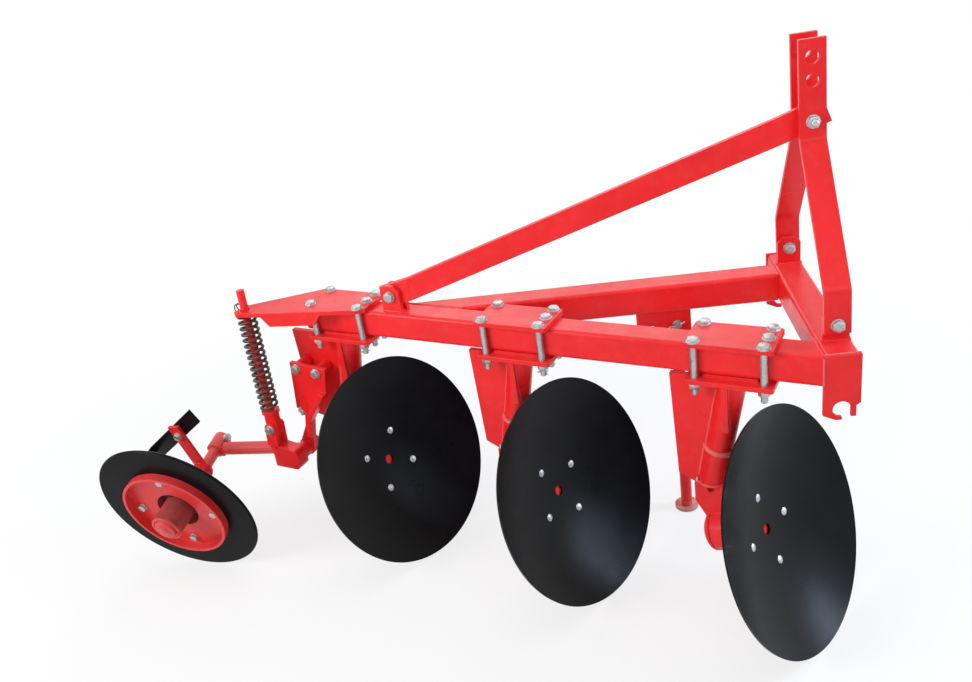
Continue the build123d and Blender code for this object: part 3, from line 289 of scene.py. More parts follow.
def gloss_red(name, worn_below=None, chalk=0.0, darkening=0.0, grease_and_shade_to=0.070):
    """Sprayed red enamel: cloudy tone, orange peel, dust and a painted sheen on top, paler thin edges and a
    few chips.
    """
    material, tree, shader, coords = new_finish(name)
    clouds = span(tree, speckle(tree, coords, 7.0, 4.0), 0.3, 0.7)
    colour = coat_over(tree, clouds, RED_DEEP, RED_BRIGHT)
    smudge = span(tree, speckle(tree, coords, 42.0, 5.0, 0.65), 0.5, 0.85, chalk, chalk + 0.14)
    colour = coat_over(tree, smudge, colour, RED_CHALK)
    # Upward faces paler and pinker: settled dust, and a painted sheen standing in for the sky's reflection
    # on the tops.
    facing = node(tree, "ShaderNodeSeparateXYZ")
    tree.links.new(node(tree, "ShaderNodeNewGeometry").outputs["Normal"], facing.inputs[0])
    settled_dust_and_sheen = span(tree, speckle(tree, coords, 24.0, 5.0, 0.6), 0.25, 0.75, 0.01, 0.08)
    upward = span(tree, facing.outputs["Z"], 0.5, 0.95)
    colour = coat_over(tree, times(tree, upward, settled_dust_and_sheen), colour, RED_DUST_AND_SHEEN)
    # Darker round the tail wheel's axle: grease, and painted shade on the hub's downward face and in the
    # drum's hollow round it.
    if darkening:
        dirt_and_shade = span(tree, speckle(tree, coords, 55.0, 6.0, 0.7), 0.3, 0.7, darkening * 0.6, darkening * 0.9)
        grease_and_shade = times(tree, dirt_and_shade, near_axle(tree, coords, "tail_wheel_spin", GREASE_AND_SHADE_FROM, grease_and_shade_to))
        colour = coat_over(tree, grease_and_shade, colour, GREASE_AND_SHADE)
    edge = edge_mask(tree, 0.0028)
    patchy = span(tree, speckle(tree, coords, 26.0, 3.0), 0.35, 0.7)
    colour = coat_over(tree, times(tree, edge, patchy), colour, RED_EDGE)
    chips = span(tree, speckle(tree, coords, 75.0, 4.0, 0.7), 0.64, 0.70)
    colour = coat_over(tree, times(tree, edge, chips), colour, CHIP)
    if worn_below is not None:
        height = node(tree, "ShaderNodeSeparateXYZ")
        tree.links.new(coords, height.inputs[0])
        low = span(tree, height.outputs["Z"], worn_below, worn_below * 0.35)
        scuffs = span(tree, speckle(tree, coords, 60.0, 4.0), 0.25, 0.55)
        colour = coat_over(tree, times(tree, low, scuffs), colour, RED_SCUFF)
    tree.links.new(colour, shader.inputs["Base Color"])
    shader.inputs["Specular IOR Level"].default_value = 0.24
    smear = speckle(tree, coords, 18.0, 5.0, 0.6)
    tree.links.new(span(tree, smear, 0.25, 0.75, 0.24, 0.42), shader.inputs["Roughness"])
    peel = speckle(tree, coords, 420.0, 2.0)
    tree.links.new(
        raise_bumps(tree, peel, 0.14, 0.0006, rounded_normal(tree, 0.0022)), shader.inputs["Normal"],
    )
    return material


def gloss_black(name, shine=0.10):
    """Black enamel over pressed steel: soft dusty sheen, and bare grey along the edge that is also a painted
    edge highlight.
    """
    material, tree, shader, coords = new_finish(name)
    haze = span(tree, speckle(tree, coords, 9.0, 5.0, 0.6), 0.35, 0.75)
    colour = coat_over(tree, haze, BLACK_DEEP, BLACK_HAZE)
    dust = span(tree, speckle(tree, coords, 240.0, 4.0, 0.7), 0.66, 0.78, 0.0, 0.3)
    colour = coat_over(tree, dust, colour, BLACK_DUST)
    # Paler grey along the edges: bare steel worn through, and a painted edge highlight along the rims.
    edge = edge_mask(tree, 0.0015)
    bare_and_highlight = span(tree, speckle(tree, coords, 55.0, 4.0), 0.42, 0.62, 0.0, 0.7)
    colour = coat_over(tree, times(tree, edge, bare_and_highlight), colour, BARE_STEEL_AND_HIGHLIGHT)
    tree.links.new(colour, shader.inputs["Base Color"])
    shader.inputs["Specular IOR Level"].default_value = shine
    smear = speckle(tree, coords, 14.0, 6.0, 0.62)
    tree.links.new(span(tree, smear, 0.25, 0.75, 0.25, 0.36), shader.inputs["Roughness"])
    ripple = speckle(tree, coords, 60.0, 3.0)
    tree.links.new(raise_bumps(tree, ripple, 0.05, 0.001), shader.inputs["Normal"])
    return material


def bright_zinc(name):
    """Plated steel: pale grey with cloudy spangle and dull smears."""
    material, tree, shader, coords = new_finish(name)
    spangle = span(tree, speckle(tree, coords, 160.0, 3.0), 0.3, 0.7)
    colour = coat_over(tree, spangle, ZINC_DULL, ZINC_BRIGHT)
    darkening = span(tree, speckle(tree, coords, 70.0, 5.0, 0.65), 0.52, 0.78, 0.0, 0.55)
    colour = coat_over(tree, darkening, colour, ZINC_GRIME)
    tree.links.new(colour, shader.inputs["Base Color"])
    shader.inputs["Metallic"].default_value = 0.75
    dull = speckle(tree, coords, 90.0, 4.0)
    tree.links.new(span(tree, dull, 0.3, 0.7, 0.28, 0.46), shader.inputs["Roughness"])
    tree.links.new(
        raise_bumps(tree, spangle, 0.08, 0.0004, rounded_normal(tree, 0.0008)), shader.inputs["Normal"],
    )
    return material


def oiled_steel(name):
    """Spring wire: brown-grey scale, paler where coils have rubbed."""
    material, tree, shader, coords = new_finish(name)
    scale = span(tree, speckle(tree, coords, 120.0, 4.0), 0.35, 0.65)
    colour = coat_over(tree, scale, WIRE_DARK, WIRE_SCALE)
    rubbed = span(tree, speckle(tree, coords, 45.0, 3.0), 0.55, 0.72, 0.0, 0.5)
    colour = coat_over(tree, rubbed, colour, WIRE_RUBBED)
    tree.links.new(colour, shader.inputs["Base Color"])
    shader.inputs["Metallic"].default_value = 0.4
    tree.links.new(span(tree, scale, 0.0, 1.0, 0.36, 0.55), shader.inputs["Roughness"])
    tree.links.new(raise_bumps(tree, scale, 0.25, 0.0005), shader.inputs["Normal"])
    return material


RED = gloss_red("red_enamel")
BLACK = gloss_black("black_enamel")
RIM_BLACK = gloss_black("dull_rim_black", 0.05)
ZINC = bright_zinc("bright_zinc")
WIRE = oiled_steel("oiled_spring_wire")
STAND_RED = gloss_red("scuffed_stand_red", worn_below=0.022)
CHALKY_RED = gloss_red("chalky_weld_red", chalk=0.68)
DUSTY_RED = gloss_red("dusty_tail_red", chalk=0.48)
# Drum, hub and cap are darkened round the axle: partly grease, partly painted shade where the drum's hollow
# and the hub lie in shade.
DRUM_RED = gloss_red("dusty_drum_red_grime_and_shade", chalk=0.06, darkening=0.42, grease_and_shade_to=0.26)
GRIME_AND_SHADE_HUB_RED = gloss_red("grime_and_shade_hub_red", chalk=0.4, darkening=0.9)
CAP_RED = gloss_red("grease_and_shade_cap_red", chalk=0.12, darkening=0.45)
FINISH = {"red_paint": RED, "black_paint": BLACK, "zinc": ZINC, "spring_steel": WIRE}
OWN_FINISH = {
    "stand_leg": STAND_RED, "tail_arm": DUSTY_RED, "axle_socket": DUSTY_RED, "wheel_axle": DUSTY_RED,
    "wheel_drum": DRUM_RED, "wheel_hub": GRIME_AND_SHADE_HUB_RED, "wheel_rim": RIM_BLACK,
}

for subpart in record["subparts"]:
    shown = nodes[subpart["node"]]
    shown.data.materials.clear()
    shown.data.materials.append(OWN_FINISH.get(subpart["node"], FINISH[subpart["material_slot"]]))


# Places, read from the frame

MM = 0.001
UP = Vector((0.0, 0.0, 1.0))
LEFT = Vector((0.0, 1.0, 0.0))


def corners(name):
    low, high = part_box(name)
    return Vector(low), Vector(high)


def middle(name):
    low, high = corners(name)
    return (low + high) / 2


ALONG = (pivot("disc_2_spin") - pivot("disc_1_spin")).normalized()     # back along the beam
OUT = UP.cross(ALONG)                                                  # to its right side
BEAM_LOW = corners("main_beam")[0].z
BEAM_TOP = corners("main_beam")[1].z
BASE_UNDER = corners("clamp_bottom_1")[0].z
UNITS = (1, 2, 3)


def at_clamp(unit, along, across, height):
    """A point beside a clamp: millimetres back and outward from its middle, height in metres."""
    spot = middle("clamp_bottom_%d" % unit) + ALONG * along * MM + OUT * across * MM
    return Vector((spot.x, spot.y, height))


def seat(at, axis, spin=0.0):
    """Puts a form's Z along an axis, its foot at a point."""
    turn = Vector(axis).to_track_quat("Z", "Y").to_matrix().to_4x4()
    return Matrix.Translation(at) @ turn @ Matrix.Rotation(math.radians(spin), 4, "Z")


def lie(start, end, outward):
    """Puts a form's X along a seam and its Z outward."""
    run = (end - start).normalized()
    side = outward.cross(run).normalized()
    turn = Matrix((run, side, run.cross(side))).transposed().to_4x4()
    return Matrix.Translation(start) @ turn


# Forms, in millimetres

MERGE_WITHIN = 0.01
HEX_EASE = 0.07        # eased corner, as a share of the width across flats


def finished(bm, name):
    bmesh.ops.remove_doubles(bm, verts=bm.verts, dist=MERGE_WITHIN)
    bmesh.ops.recalc_face_normals(bm, faces=bm.faces)
    bmesh.ops.scale(bm, vec=(MM, MM, MM), verts=bm.verts)
    form = bpy.data.meshes.new(name)
    bm.to_mesh(form)
    bm.free()
    return form


def turned_form(name, profile, steps=24):
    """A turned piece: (radius, height) points spun about Z."""
    bm = bmesh.new()
    points = [bm.verts.new((radius, 0.0, height)) for radius, height in profile]
    for first, second in zip(points, points[1:]):
        bm.edges.new((first, second))
    bmesh.ops.spin(
        bm, geom=bm.verts[:] + bm.edges[:], cent=(0, 0, 0), axis=(0, 0, 1), angle=2 * math.pi,
        steps=steps, use_merge=True,
    )
    return finished(bm, name)


def washer_form(name, hole, edge, thick, steps):
    return turned_form(name, ((hole, 0), (edge, 0), (edge, thick), (hole, thick), (hole, 0)), steps)


def shank_form(name, radius, length, chamfer, steps):
    """A bolt's end, chamfered at its tip."""
    tip = ((0, length), (radius - chamfer, length), (radius, length - chamfer))
    return turned_form(name, (*tip, (radius, 0), (0, 0)), steps)


def hex_form(name, flats, height, both_ends=False):
    """A hexagon head or nut with its corners eased."""
    bm = bmesh.new()
    corner = flats / math.sqrt(3)
    bmesh.ops.create_cone(
        bm, cap_ends=True, segments=6, radius1=corner, radius2=corner, depth=height,
    )
    rim = [edge for edge in bm.edges if all(vert.co.z > 0 for vert in edge.verts)]
    if both_ends:
        rim += [edge for edge in bm.edges if all(vert.co.z < 0 for vert in edge.verts)]
    bmesh.ops.bevel(
        bm, geom=rim, offset=flats * HEX_EASE, offset_type="OFFSET", segments=2, profile=0.5,
        affect="EDGES", material=-1,
    )
    bmesh.ops.translate(bm, verts=bm.verts, vec=(0, 0, height / 2))
    return finished(bm, name)


def wire_form(name, points, thickness):
    """A bent wire through a few points."""
    curve = bpy.data.curves.new(name, "CURVE")
    curve.dimensions = "3D"
    curve.bevel_depth = thickness / 2
    curve.bevel_resolution = 2
    curve.resolution_u = 6
    curve.use_fill_caps = True
    spline = curve.splines.new("NURBS")
    spline.points.add(len(points) - 1)
    for knot, point in zip(spline.points, points):
        knot.co = (*point, 1.0)
    spline.order_u = 3
    spline.use_endpoint_u = True
    holder = bpy.data.objects.new(name, curve)
    mesh = bpy.data.meshes.new_from_object(holder)
    bpy.data.objects.remove(holder)
    bpy.data.curves.remove(curve)
    bm = bmesh.new()
    bm.from_mesh(mesh)
    bpy.data.meshes.remove(mesh)
    return finished(bm, name)


BEAD_PITCH = 3.2
SHARP_ANGLE = 40.0
RIPPLE = (1.0, 0.84, 1.06, 0.88, 0.97, 0.8, 1.04, 0.86, 0.95)


def bead_form(name, length, width, ring_radius=None):
    """A rippled weld bead along X or, with a ring radius, once round Z."""
    bm = bmesh.new()
    upright = Matrix.Rotation(math.pi / 2, 4, "Y" if ring_radius is None else "X")
    start = Matrix.Identity(4) if ring_radius is None else Matrix.Translation((ring_radius, 0, 0))
    loop = bmesh.ops.create_circle(
        bm, cap_ends=ring_radius is None, segments=8, radius=width / 2, matrix=start @ upright,
    )["verts"]
    steps = max(3, round(length / BEAD_PITCH))
    for step in range(steps):
        edges = {edge for vert in loop for edge in vert.link_edges if edge.other_vert(vert) in loop}
        made = bmesh.ops.extrude_edge_only(bm, edges=list(edges))["geom"]
        loop = [part for part in made if isinstance(part, bmesh.types.BMVert)]
        if ring_radius is None:
            bmesh.ops.translate(bm, verts=loop, vec=(length / steps, 0, 0))
        else:
            turn = Matrix.Rotation(2 * math.pi / steps, 3, "Z")
            bmesh.ops.rotate(bm, verts=loop, cent=(0, 0, 0), matrix=turn)
        centre = sum((vert.co for vert in loop), Vector()) / len(loop)
        grow = RIPPLE[(step + 1) % len(RIPPLE)] / RIPPLE[step % len(RIPPLE)]
        if ring_radius is not None and step == steps - 1:
            grow = RIPPLE[0] / RIPPLE[step % len(RIPPLE)]
        bmesh.ops.scale(bm, verts=loop, vec=(grow, grow, grow), space=Matrix.Translation(-centre))
    if ring_radius is None:
        bmesh.ops.contextual_create(bm, geom=loop)
    return finished(bm, name)


def seam(start, end, outward, width=6.0):
    """A weld bead from one point to another, with its place."""
    return bead_form("seam", (end - start).length / MM, width), [lie(start, end, outward)]


def ring_seam(at, axis, radius, width=6.0):
    """A weld bead round a tube's end, with its place."""
    return bead_form("ring_seam", 2 * math.pi * radius, width, radius), [seat(at, axis)]


def fit(name, body, slot, parts, finish=None):
    """Joins forms, each at its places, into one piece of the plough."""
    bm = bmesh.new()
    for form, places in parts:
        for place in places:
            copy = form.copy()
            copy.transform(place)
            bm.from_mesh(copy)
            bpy.data.meshes.remove(copy)
    for face in bm.faces:
        face.smooth = True
    mesh = bpy.data.meshes.new(name)
    bm.to_mesh(mesh)
    bm.free()
    mesh.set_sharp_from_angle(angle=math.radians(SHARP_ANGLE))
    mesh.materials.append(finish or FINISH[slot])
    piece = bpy.data.objects.new(name, mesh)
    bpy.context.scene.collection.objects.link(piece)
    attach(piece, body)
    return piece


HEAD_14 = hex_form("head_14", 21.0, 6.8)
HEAD_12 = hex_form("head_12", 18.0, 7.5)
NUT_16 = hex_form("nut_16", 22.0, 8.5)
NUT_14 = hex_form("nut_14", 21.0, 12.0, True)
NUT_12 = hex_form("nut_12", 18.0, 9.0, True)
THICK_12, THICK_14, THICK_16 = 1.8, 2.0, 2.5     # washers
LIFT_12, LIFT_14, LIFT_16 = 0.0018, 0.002, 0.0025   # the same in metres, from face to head or nut
WASHER_14 = washer_form("washer_14", 7.2, 13.4, THICK_14, 28)
WASHER_16 = washer_form("washer_16", 8.2, 13.4, THICK_16, 28)
WASHER_12 = washer_form("washer_12", 6.2, 11, THICK_12, 24)
BOLT_END = shank_form("bolt_end", 7, 27, 1.5, 20)
MAST_END = shank_form("mast_end", 7, 19, 1.5, 20)
SPLIT_PIN = wire_form(
    "split_pin",
    ((-10, 2, -5), (-8, 0.7, -1), (0, 0.5, 0), (7, 0.6, 0), (10, 2.4, 0), (13, 1.8, 0), (13.6, 0, 0),
     (13, -1.8, 0), (10, -2.4, 0), (7, -0.6, 0), (0, -0.5, 0), (-8, -0.7, 0.6), (-11, -2.6, 3)),
    1.8,
)
NIPPLE = turned_form(
    "grease_nipple",
    ((0, 11), (1.8, 10.6), (2.6, 9), (1.7, 7), (2.2, 5.6), (4.2, 5), (4.2, 0), (0, 0)),
    16,
)

# Clamp bolts: three heads ahead of each leg and two behind it, nuts below, split pins in the front ones
BOLT_STEP = 137.0
BOLT_ROW = 41.0
PLATE_TOP = corners("clamp_top_1")[1].z
PIN_DROP = 0.0195
HEAD_TURN, HEAD_SHIFT = 23, 11      # degrees from bolt to bolt and from clamp to clamp
NUT_TURN, NUT_SHIFT = 31, 7
PIN_TURN = 0.9                      # radians from pin to pin
for unit in UNITS:
    front = [(-BOLT_STEP / 2, side * BOLT_ROW) for side in (-1, 1)]
    spots = front + [(-BOLT_STEP / 2, 0.0)] + [(BOLT_STEP / 2, side * BOLT_ROW) for side in (-1, 1)]
    tops = [at_clamp(unit, *spot, PLATE_TOP) for spot in spots]
    feet = [at_clamp(unit, *spot, BASE_UNDER) for spot in spots]
    fit("clamp_heads_%d" % unit, "frame", "zinc", [
        (WASHER_14, [seat(at, UP) for at in tops]),
        (HEAD_14, [
            seat(at + UP * LIFT_14, UP, HEAD_TURN * turn + HEAD_SHIFT * unit)
            for turn, at in enumerate(tops)
        ]),
    ])
    fit("clamp_nuts_%d" % unit, "frame", "zinc", [
        (NUT_14, [seat(at, -UP, NUT_TURN * turn + NUT_SHIFT * unit) for turn, at in enumerate(feet)]),
        (BOLT_END, [seat(at, -UP) for at in feet]),
        (SPLIT_PIN, [
            Matrix.Translation(at - UP * PIN_DROP) @ Matrix.Rotation(PIN_TURN * turn + unit, 4, "Z")
            for turn, at in enumerate(feet[:3])
        ]),
    ])

# Mast and stay bolts: a washer and nut on each side, and the stay bolt's end on the near side
EAR_BOLT_DROP = 0.026
EAR_BOLT_Y = 0.205
FLAT_HALF = 0.005
EAR_GRIP = 0.0203
MAST_HALF = 0.037
FOOT_HALF = 0.0163
MAST_TURN = 17
ear_low, ear_high = corners("mast_ears")
ear_mid = middle("mast_ears")
ear_bolt_z = ear_high.z - EAR_BOLT_DROP
stay_bolt = middle("stay_spacers")
foot_bolt = middle("stay_ears")
foot_bolt.z = ear_bolt_z
near_right = Vector((ear_mid.x, ear_mid.y - EAR_BOLT_Y - FLAT_HALF, ear_bolt_z))
near_left = Vector((ear_mid.x, ear_mid.y + EAR_BOLT_Y + FLAT_HALF - EAR_GRIP, ear_bolt_z))
mast_faces = [
    (near_right, -LEFT), (near_left, -LEFT), (stay_bolt - LEFT * MAST_HALF, -LEFT),
    (foot_bolt + OUT * FOOT_HALF, OUT), (near_right + LEFT * EAR_GRIP, LEFT),
    (near_left + LEFT * EAR_GRIP, LEFT), (stay_bolt + LEFT * MAST_HALF, LEFT),
    (foot_bolt - OUT * FOOT_HALF, -OUT),
]
fit("mast_fasteners", "frame", "zinc", [
    (WASHER_16, [seat(at, way) for at, way in mast_faces]),
    (NUT_16, [seat(at + way * LIFT_16, way, MAST_TURN * turn) for turn, (at, way) in enumerate(mast_faces)]),
    (MAST_END, [seat(stay_bolt - LEFT * MAST_HALF, -LEFT)]),
])

# Disc bolts: round flush heads on the hollow side, nuts behind the hub's flange
DISC_BOLT_R = 72.0
DISC_SPIN = {1: -2.0, 2: 27.0, 3: 60.0}
DISC_R, DISC_DEPTH = 255.0, 64.0
SPHERE_R = (DISC_R ** 2 + DISC_DEPTH ** 2) / (2 * DISC_DEPTH)
FLANGE_BACK = 82.3
DISC_NUT_TURN = 21
DISC_HEAD = turned_form(
    "disc_head", ((0, 2.2), (4.5, 1.9), (7.8, 1.0), (8.8, 0), (8.8, -3), (0, -3)), 24,
)
DISC_END = shank_form("disc_end", 6, 14, 1, 18)
for unit in UNITS:
    spin = "disc_%d_spin" % unit
    centre, face = pivot(spin), axis_of(spin)
    level = UP.cross(face).normalized()
    rise = face.cross(level)
    bowl = math.sqrt(SPHERE_R ** 2 - DISC_BOLT_R ** 2)
    dip = bowl - (SPHERE_R - DISC_DEPTH)
    fronts, backs = [], []
    for turn in range(4):
        angle = math.radians(DISC_SPIN[unit] + 90 * turn)
        arm = (level * math.cos(angle) + rise * math.sin(angle)) * DISC_BOLT_R * MM
        fronts.append((centre + arm - face * dip * MM, (face * bowl * MM - arm).normalized()))
        backs.append((centre + arm - face * FLANGE_BACK * MM, -face))
    fit("disc_bolts_%d" % unit, "disc_unit_%d" % unit, "zinc", [
        (DISC_HEAD, [seat(at, way) for at, way in fronts]),
        (WASHER_12, [seat(at, way) for at, way in backs]),
        (NUT_12, [
            seat(at + way * LIFT_12, way, DISC_NUT_TURN * turn) for turn, (at, way) in enumerate(backs)
        ]),
        (DISC_END, [seat(at, way) for at, way in backs]),
    ])

# Tail wheel: drum bolts, the hub's end cap with its nipple, and the scraper's bolt
wheel, wheel_face = pivot("tail_wheel_spin"), axis_of("tail_wheel_spin")
wheel_level = UP.cross(wheel_face).normalized()
wheel_rise = wheel_face.cross(wheel_level)


def by_wheel(level, rise, out):
    """A point beside the tail wheel: millimetres in its plane and along its axle."""
    return wheel + (wheel_level * level + wheel_rise * rise + wheel_face * out) * MM


DRUM_BOLT_R = 105.0
DRUM_FLOOR = 2.0
WHEEL_FLANGE_BACK = -14.3
HUB_FRONT = 60.0
CAP_NIPPLE, CAP_NIPPLE_RISE = (30, -14), 2
DRUM_HEAD_TURN, DRUM_NUT_TURN = 19, 13
drum_spots = ((DRUM_BOLT_R, 0), (0, DRUM_BOLT_R), (-DRUM_BOLT_R, 0), (0, -DRUM_BOLT_R))
drum_front = [by_wheel(*spot, DRUM_FLOOR) for spot in drum_spots]
drum_back = [by_wheel(*spot, WHEEL_FLANGE_BACK) for spot in drum_spots]
fit("drum_bolts", "tail_wheel", "zinc", [
    (WASHER_12, [seat(at, wheel_face) for at in drum_front]
        + [seat(at, -wheel_face) for at in drum_back]),
    (HEAD_12, [
        seat(at + wheel_face * LIFT_12, wheel_face, DRUM_HEAD_TURN * turn)
        for turn, at in enumerate(drum_front)
    ]),
    (NUT_12, [
        seat(at - wheel_face * LIFT_12, -wheel_face, DRUM_NUT_TURN * turn)
        for turn, at in enumerate(drum_back)
    ]),
])
END_CAP = turned_form(
    "end_cap",
    ((38, -1), (38, 1.5), (36.5, 3), (31.5, 3), (30, 1.2), (28, 1.2), (27, 6.5), (25.5, 8), (11, 9),
     (9, 10.5), (0, 10.5)),
    36,
)
fit("hub_cap", "tail_wheel", "red_paint", [
    (END_CAP, [seat(by_wheel(0, 0, HUB_FRONT), wheel_face)]),
    (NIPPLE, [seat(by_wheel(*CAP_NIPPLE, HUB_FRONT + CAP_NIPPLE_RISE), wheel_face)]),
], CAP_RED)
SCRAPER_FRONT = -130.0
SCRAPER_REAR = -144.3
SCRAPER_BOLT = (-15.0, 125.0)
SHANK_OUT = 2
SCRAPER_SHANK = shank_form("scraper_shank", 6, 26, 1, 18)
fit("scraper_bolt", "frame", "zinc", [
    (WASHER_12, [
        seat(by_wheel(*SCRAPER_BOLT, SCRAPER_FRONT), wheel_face),
        seat(by_wheel(*SCRAPER_BOLT, SCRAPER_REAR), -wheel_face),
    ]),
    (HEAD_12, [seat(by_wheel(*SCRAPER_BOLT, SCRAPER_FRONT + THICK_12), wheel_face, spin=12)]),
    (NUT_12, [seat(by_wheel(*SCRAPER_BOLT, SCRAPER_REAR - THICK_12), -wheel_face, spin=40)]),
    (SCRAPER_SHANK, [seat(by_wheel(*SCRAPER_BOLT, SCRAPER_FRONT + SHANK_OUT), -wheel_face)]),
])

# Tail bracket: two bolts through the leg plate, the arm's stop, the rod's pin and the axle's pinch bolt
HALF_BEAM = 32.5
LEG_TOP = BASE_UNDER - 0.0003


def by_tail(back, out, height):
    """A point behind the last clamp: millimetres back and out from the beam's side, height in metres."""
    return at_clamp(3, back, out + HALF_BEAM, height)


BRACKET_OUT = 32.0
BRACKET_BOLTS = ((145.5, 84.0), (85.0, 90.0))
LEG_PLATE_BACK = -30.0
bracket_near = [by_tail(back, BRACKET_OUT, LEG_TOP - drop * MM) for back, drop in BRACKET_BOLTS]
bracket_far = [by_tail(back, LEG_PLATE_BACK, LEG_TOP - drop * MM) for back, drop in BRACKET_BOLTS]
STOP = (166.0, 27.0, 0.3405)
ROD_PIN = (213.0, 90.0, 0.316)
ROD_LEAN = (16.0, -24.0, 372.5)
LUG_FACE = 0.0193
rod_way = (ALONG * ROD_LEAN[0] + OUT * ROD_LEAN[1] + UP * ROD_LEAN[2]).normalized()
rod_side = rod_way.cross(ALONG).normalized()
rod_pin = by_tail(*ROD_PIN)
AXLE_TOP = 205.0
SOCKET_R = 23.0
PINCH_AIM, PINCH_BACK = (0.8, -0.34, 0.5), 0.029
PINCH_HEAD, PINCH_SUNK = 0.003, 0.004
SHANK_START, STOP_RISE = 0.004, 0.008
BRACKET_HEAD_TURN, BRACKET_HEAD_SHIFT, BRACKET_NUT_TURN = 25, 9, 14
socket = by_wheel(0, 0, -AXLE_TOP)
pinch_way = Vector(PINCH_AIM)
pinch_way = (pinch_way - wheel_face * pinch_way.dot(wheel_face)).normalized()
pinch = socket - wheel_face * PINCH_BACK + pinch_way * SOCKET_R * MM
LONG_SHANK = shank_form("long_shank", 7, 74, 1, 20)
fit("tail_fasteners", "frame", "zinc", [
    (WASHER_14, [seat(at, OUT) for at in bracket_near] + [seat(at, -OUT) for at in bracket_far]
        + [seat(rod_pin + rod_side * LUG_FACE * side, rod_side * side) for side in (-1, 1)]),
    (HEAD_14, [
        seat(at + OUT * LIFT_14, OUT, BRACKET_HEAD_TURN * turn + BRACKET_HEAD_SHIFT)
        for turn, at in enumerate(bracket_near)
    ]),
    (LONG_SHANK, [seat(at + OUT * SHANK_START, -OUT) for at in bracket_near]),
    (NUT_14, [
        seat(at - OUT * LIFT_14, -OUT, BRACKET_NUT_TURN * turn) for turn, at in enumerate(bracket_far)
    ]),
    (HEAD_12, [
        seat(rod_pin + rod_side * (LUG_FACE + LIFT_14) * side, rod_side * side, spin=20) for side in (-1, 1)
    ] + [seat(pinch + pinch_way * PINCH_HEAD, pinch_way, spin=8)]),
    (NUT_12, [
        seat(by_tail(*STOP), -UP, spin=10), seat(pinch - pinch_way * PINCH_SUNK, pinch_way, spin=25),
    ]),
    (SCRAPER_SHANK, [seat(by_tail(*STOP) + UP * STOP_RISE, -UP)]),
])
PIVOT = (175.5, 226.0)
BARREL_R = 21.0
BARREL_NIPPLE, BARREL_SUNK = 62, 0.5
barrel_top = by_tail(PIVOT[0], BARREL_NIPPLE, (PIVOT[1] + BARREL_R - BARREL_SUNK) * MM)
fit("grease_nipple", "frame", "zinc", [(NIPPLE, [seat(barrel_top, UP)])])

# Clip through the spring rod, above the tail plate
PLATE_RISE = 0.0125
clip_at = rod_pin + rod_way * ((PLATE_TOP + PLATE_RISE - rod_pin.z) / rod_way.z)
CLIP = wire_form(
    "rod_clip",
    ((-15, 0, 0), (0, 0, 0), (14, 0, 0.4), (22, 0.5, 0.6), (29, 1.5, -3), (31.5, 2, -14),
     (30, 1, -26), (25, -1, -31), (21, -2, -25), (22, -1, -14), (25, 0, -5), (20, 1, 3.4), (12, 1.5, 3.2)),
    3.0,
)
clip_turn = Matrix((ALONG, OUT, UP)).transposed().to_4x4()
fit("rod_clip", "frame", "spring_steel", [(CLIP, [Matrix.Translation(clip_at) @ clip_turn])])

# Stand pin: washers and split pins at both ends
stand_pin, stand_axis = pivot("stand_fold"), axis_of("stand_fold")
STAND_FACE = 0.0235
STAND_PIN_AT = 0.0295
STAND_SPLIT = Matrix.Scale(1.5, 4)
ways = [stand_axis, -stand_axis]
fit("stand_fasteners", "frame", "zinc", [
    (WASHER_12, [seat(stand_pin + way * STAND_FACE, way) for way in ways]),
    (SPLIT_PIN, [seat(stand_pin + way * STAND_PIN_AT, way, spin=200) @ STAND_SPLIT for way in ways]),
])

# Weld beads on the frame: mitre, brace, ears, hitch plates, stand bracket
CORNER_DROP = 0.0025
EAR_THICK = 0.010
MITRE_BEAD, EAR_BEAD, STAND_BEAD, PLATE_BEAD, CORNER_BEAD = 8.0, 7.0, 5.5, 5.0, 4.5
MITRE_BACK, MITRE_NEAR, MITRE_FAR = 0.001, 0.070, 0.067
BRACE_PROUD = 0.5
PLATE_SUNK = 0.0005
HITCH_AHEAD = -176.0
CORNER_FROM, CORNER_TO = 0.004, 0.061
EAR_HALF = 25.0
cross_low = corners("crossbar")[0]
brace_high = corners("brace_beam")[1]
seam_z = BEAM_TOP - CORNER_DROP
mitre_x = cross_low.x - MITRE_BACK
mitres = ((cross_low.y, cross_low.y + MITRE_NEAR), (brace_high.y - MITRE_FAR, brace_high.y))
frame_seams = [
    seam(Vector((mitre_x, begin, seam_z)), Vector((mitre_x, end, seam_z)), UP, MITRE_BEAD)
    for begin, end in mitres
]
BRACE_MEETS = -236.0
BRACE_REACH = 78.0
for height in (seam_z, BEAM_LOW + CORNER_DROP):
    frame_seams.append(seam(
        at_clamp(3, BRACE_MEETS - BRACE_REACH, -HALF_BEAM - BRACE_PROUD, height),
        at_clamp(3, BRACE_MEETS + BRACE_REACH, -HALF_BEAM - BRACE_PROUD, height), UP, MITRE_BEAD,
    ))
for y in (ear_low.y, ear_low.y + EAR_THICK, ear_high.y - EAR_THICK, ear_high.y):
    ends = [Vector((x, y, BEAM_TOP)) for x in (ear_low.x, ear_high.x)]
    frame_seams.append(seam(*ends, UP, EAR_BEAD))
for x in (ear_low.x, ear_high.x):
    for y in (ear_low.y, ear_high.y - EAR_THICK):
        ends = [Vector((x, side, BEAM_TOP)) for side in (y, y + EAR_THICK)]
        frame_seams.append(seam(*ends, UP, EAR_BEAD))
STAY_AHEAD = -152.0
EAR_OUTER = 16.3
for side in (-1, 1):
    ends = [at_clamp(3, STAY_AHEAD + end * EAR_HALF, side * EAR_OUTER, BEAM_TOP) for end in (-1, 1)]
    frame_seams.append(seam(*ends, UP, EAR_BEAD))
    for end in ends:
        frame_seams.append(seam(end, end - OUT * side * EAR_THICK, UP, EAR_BEAD))
stand_run = UP.cross(stand_axis)
STAND_FROM, STAND_TO = -0.030, 0.089
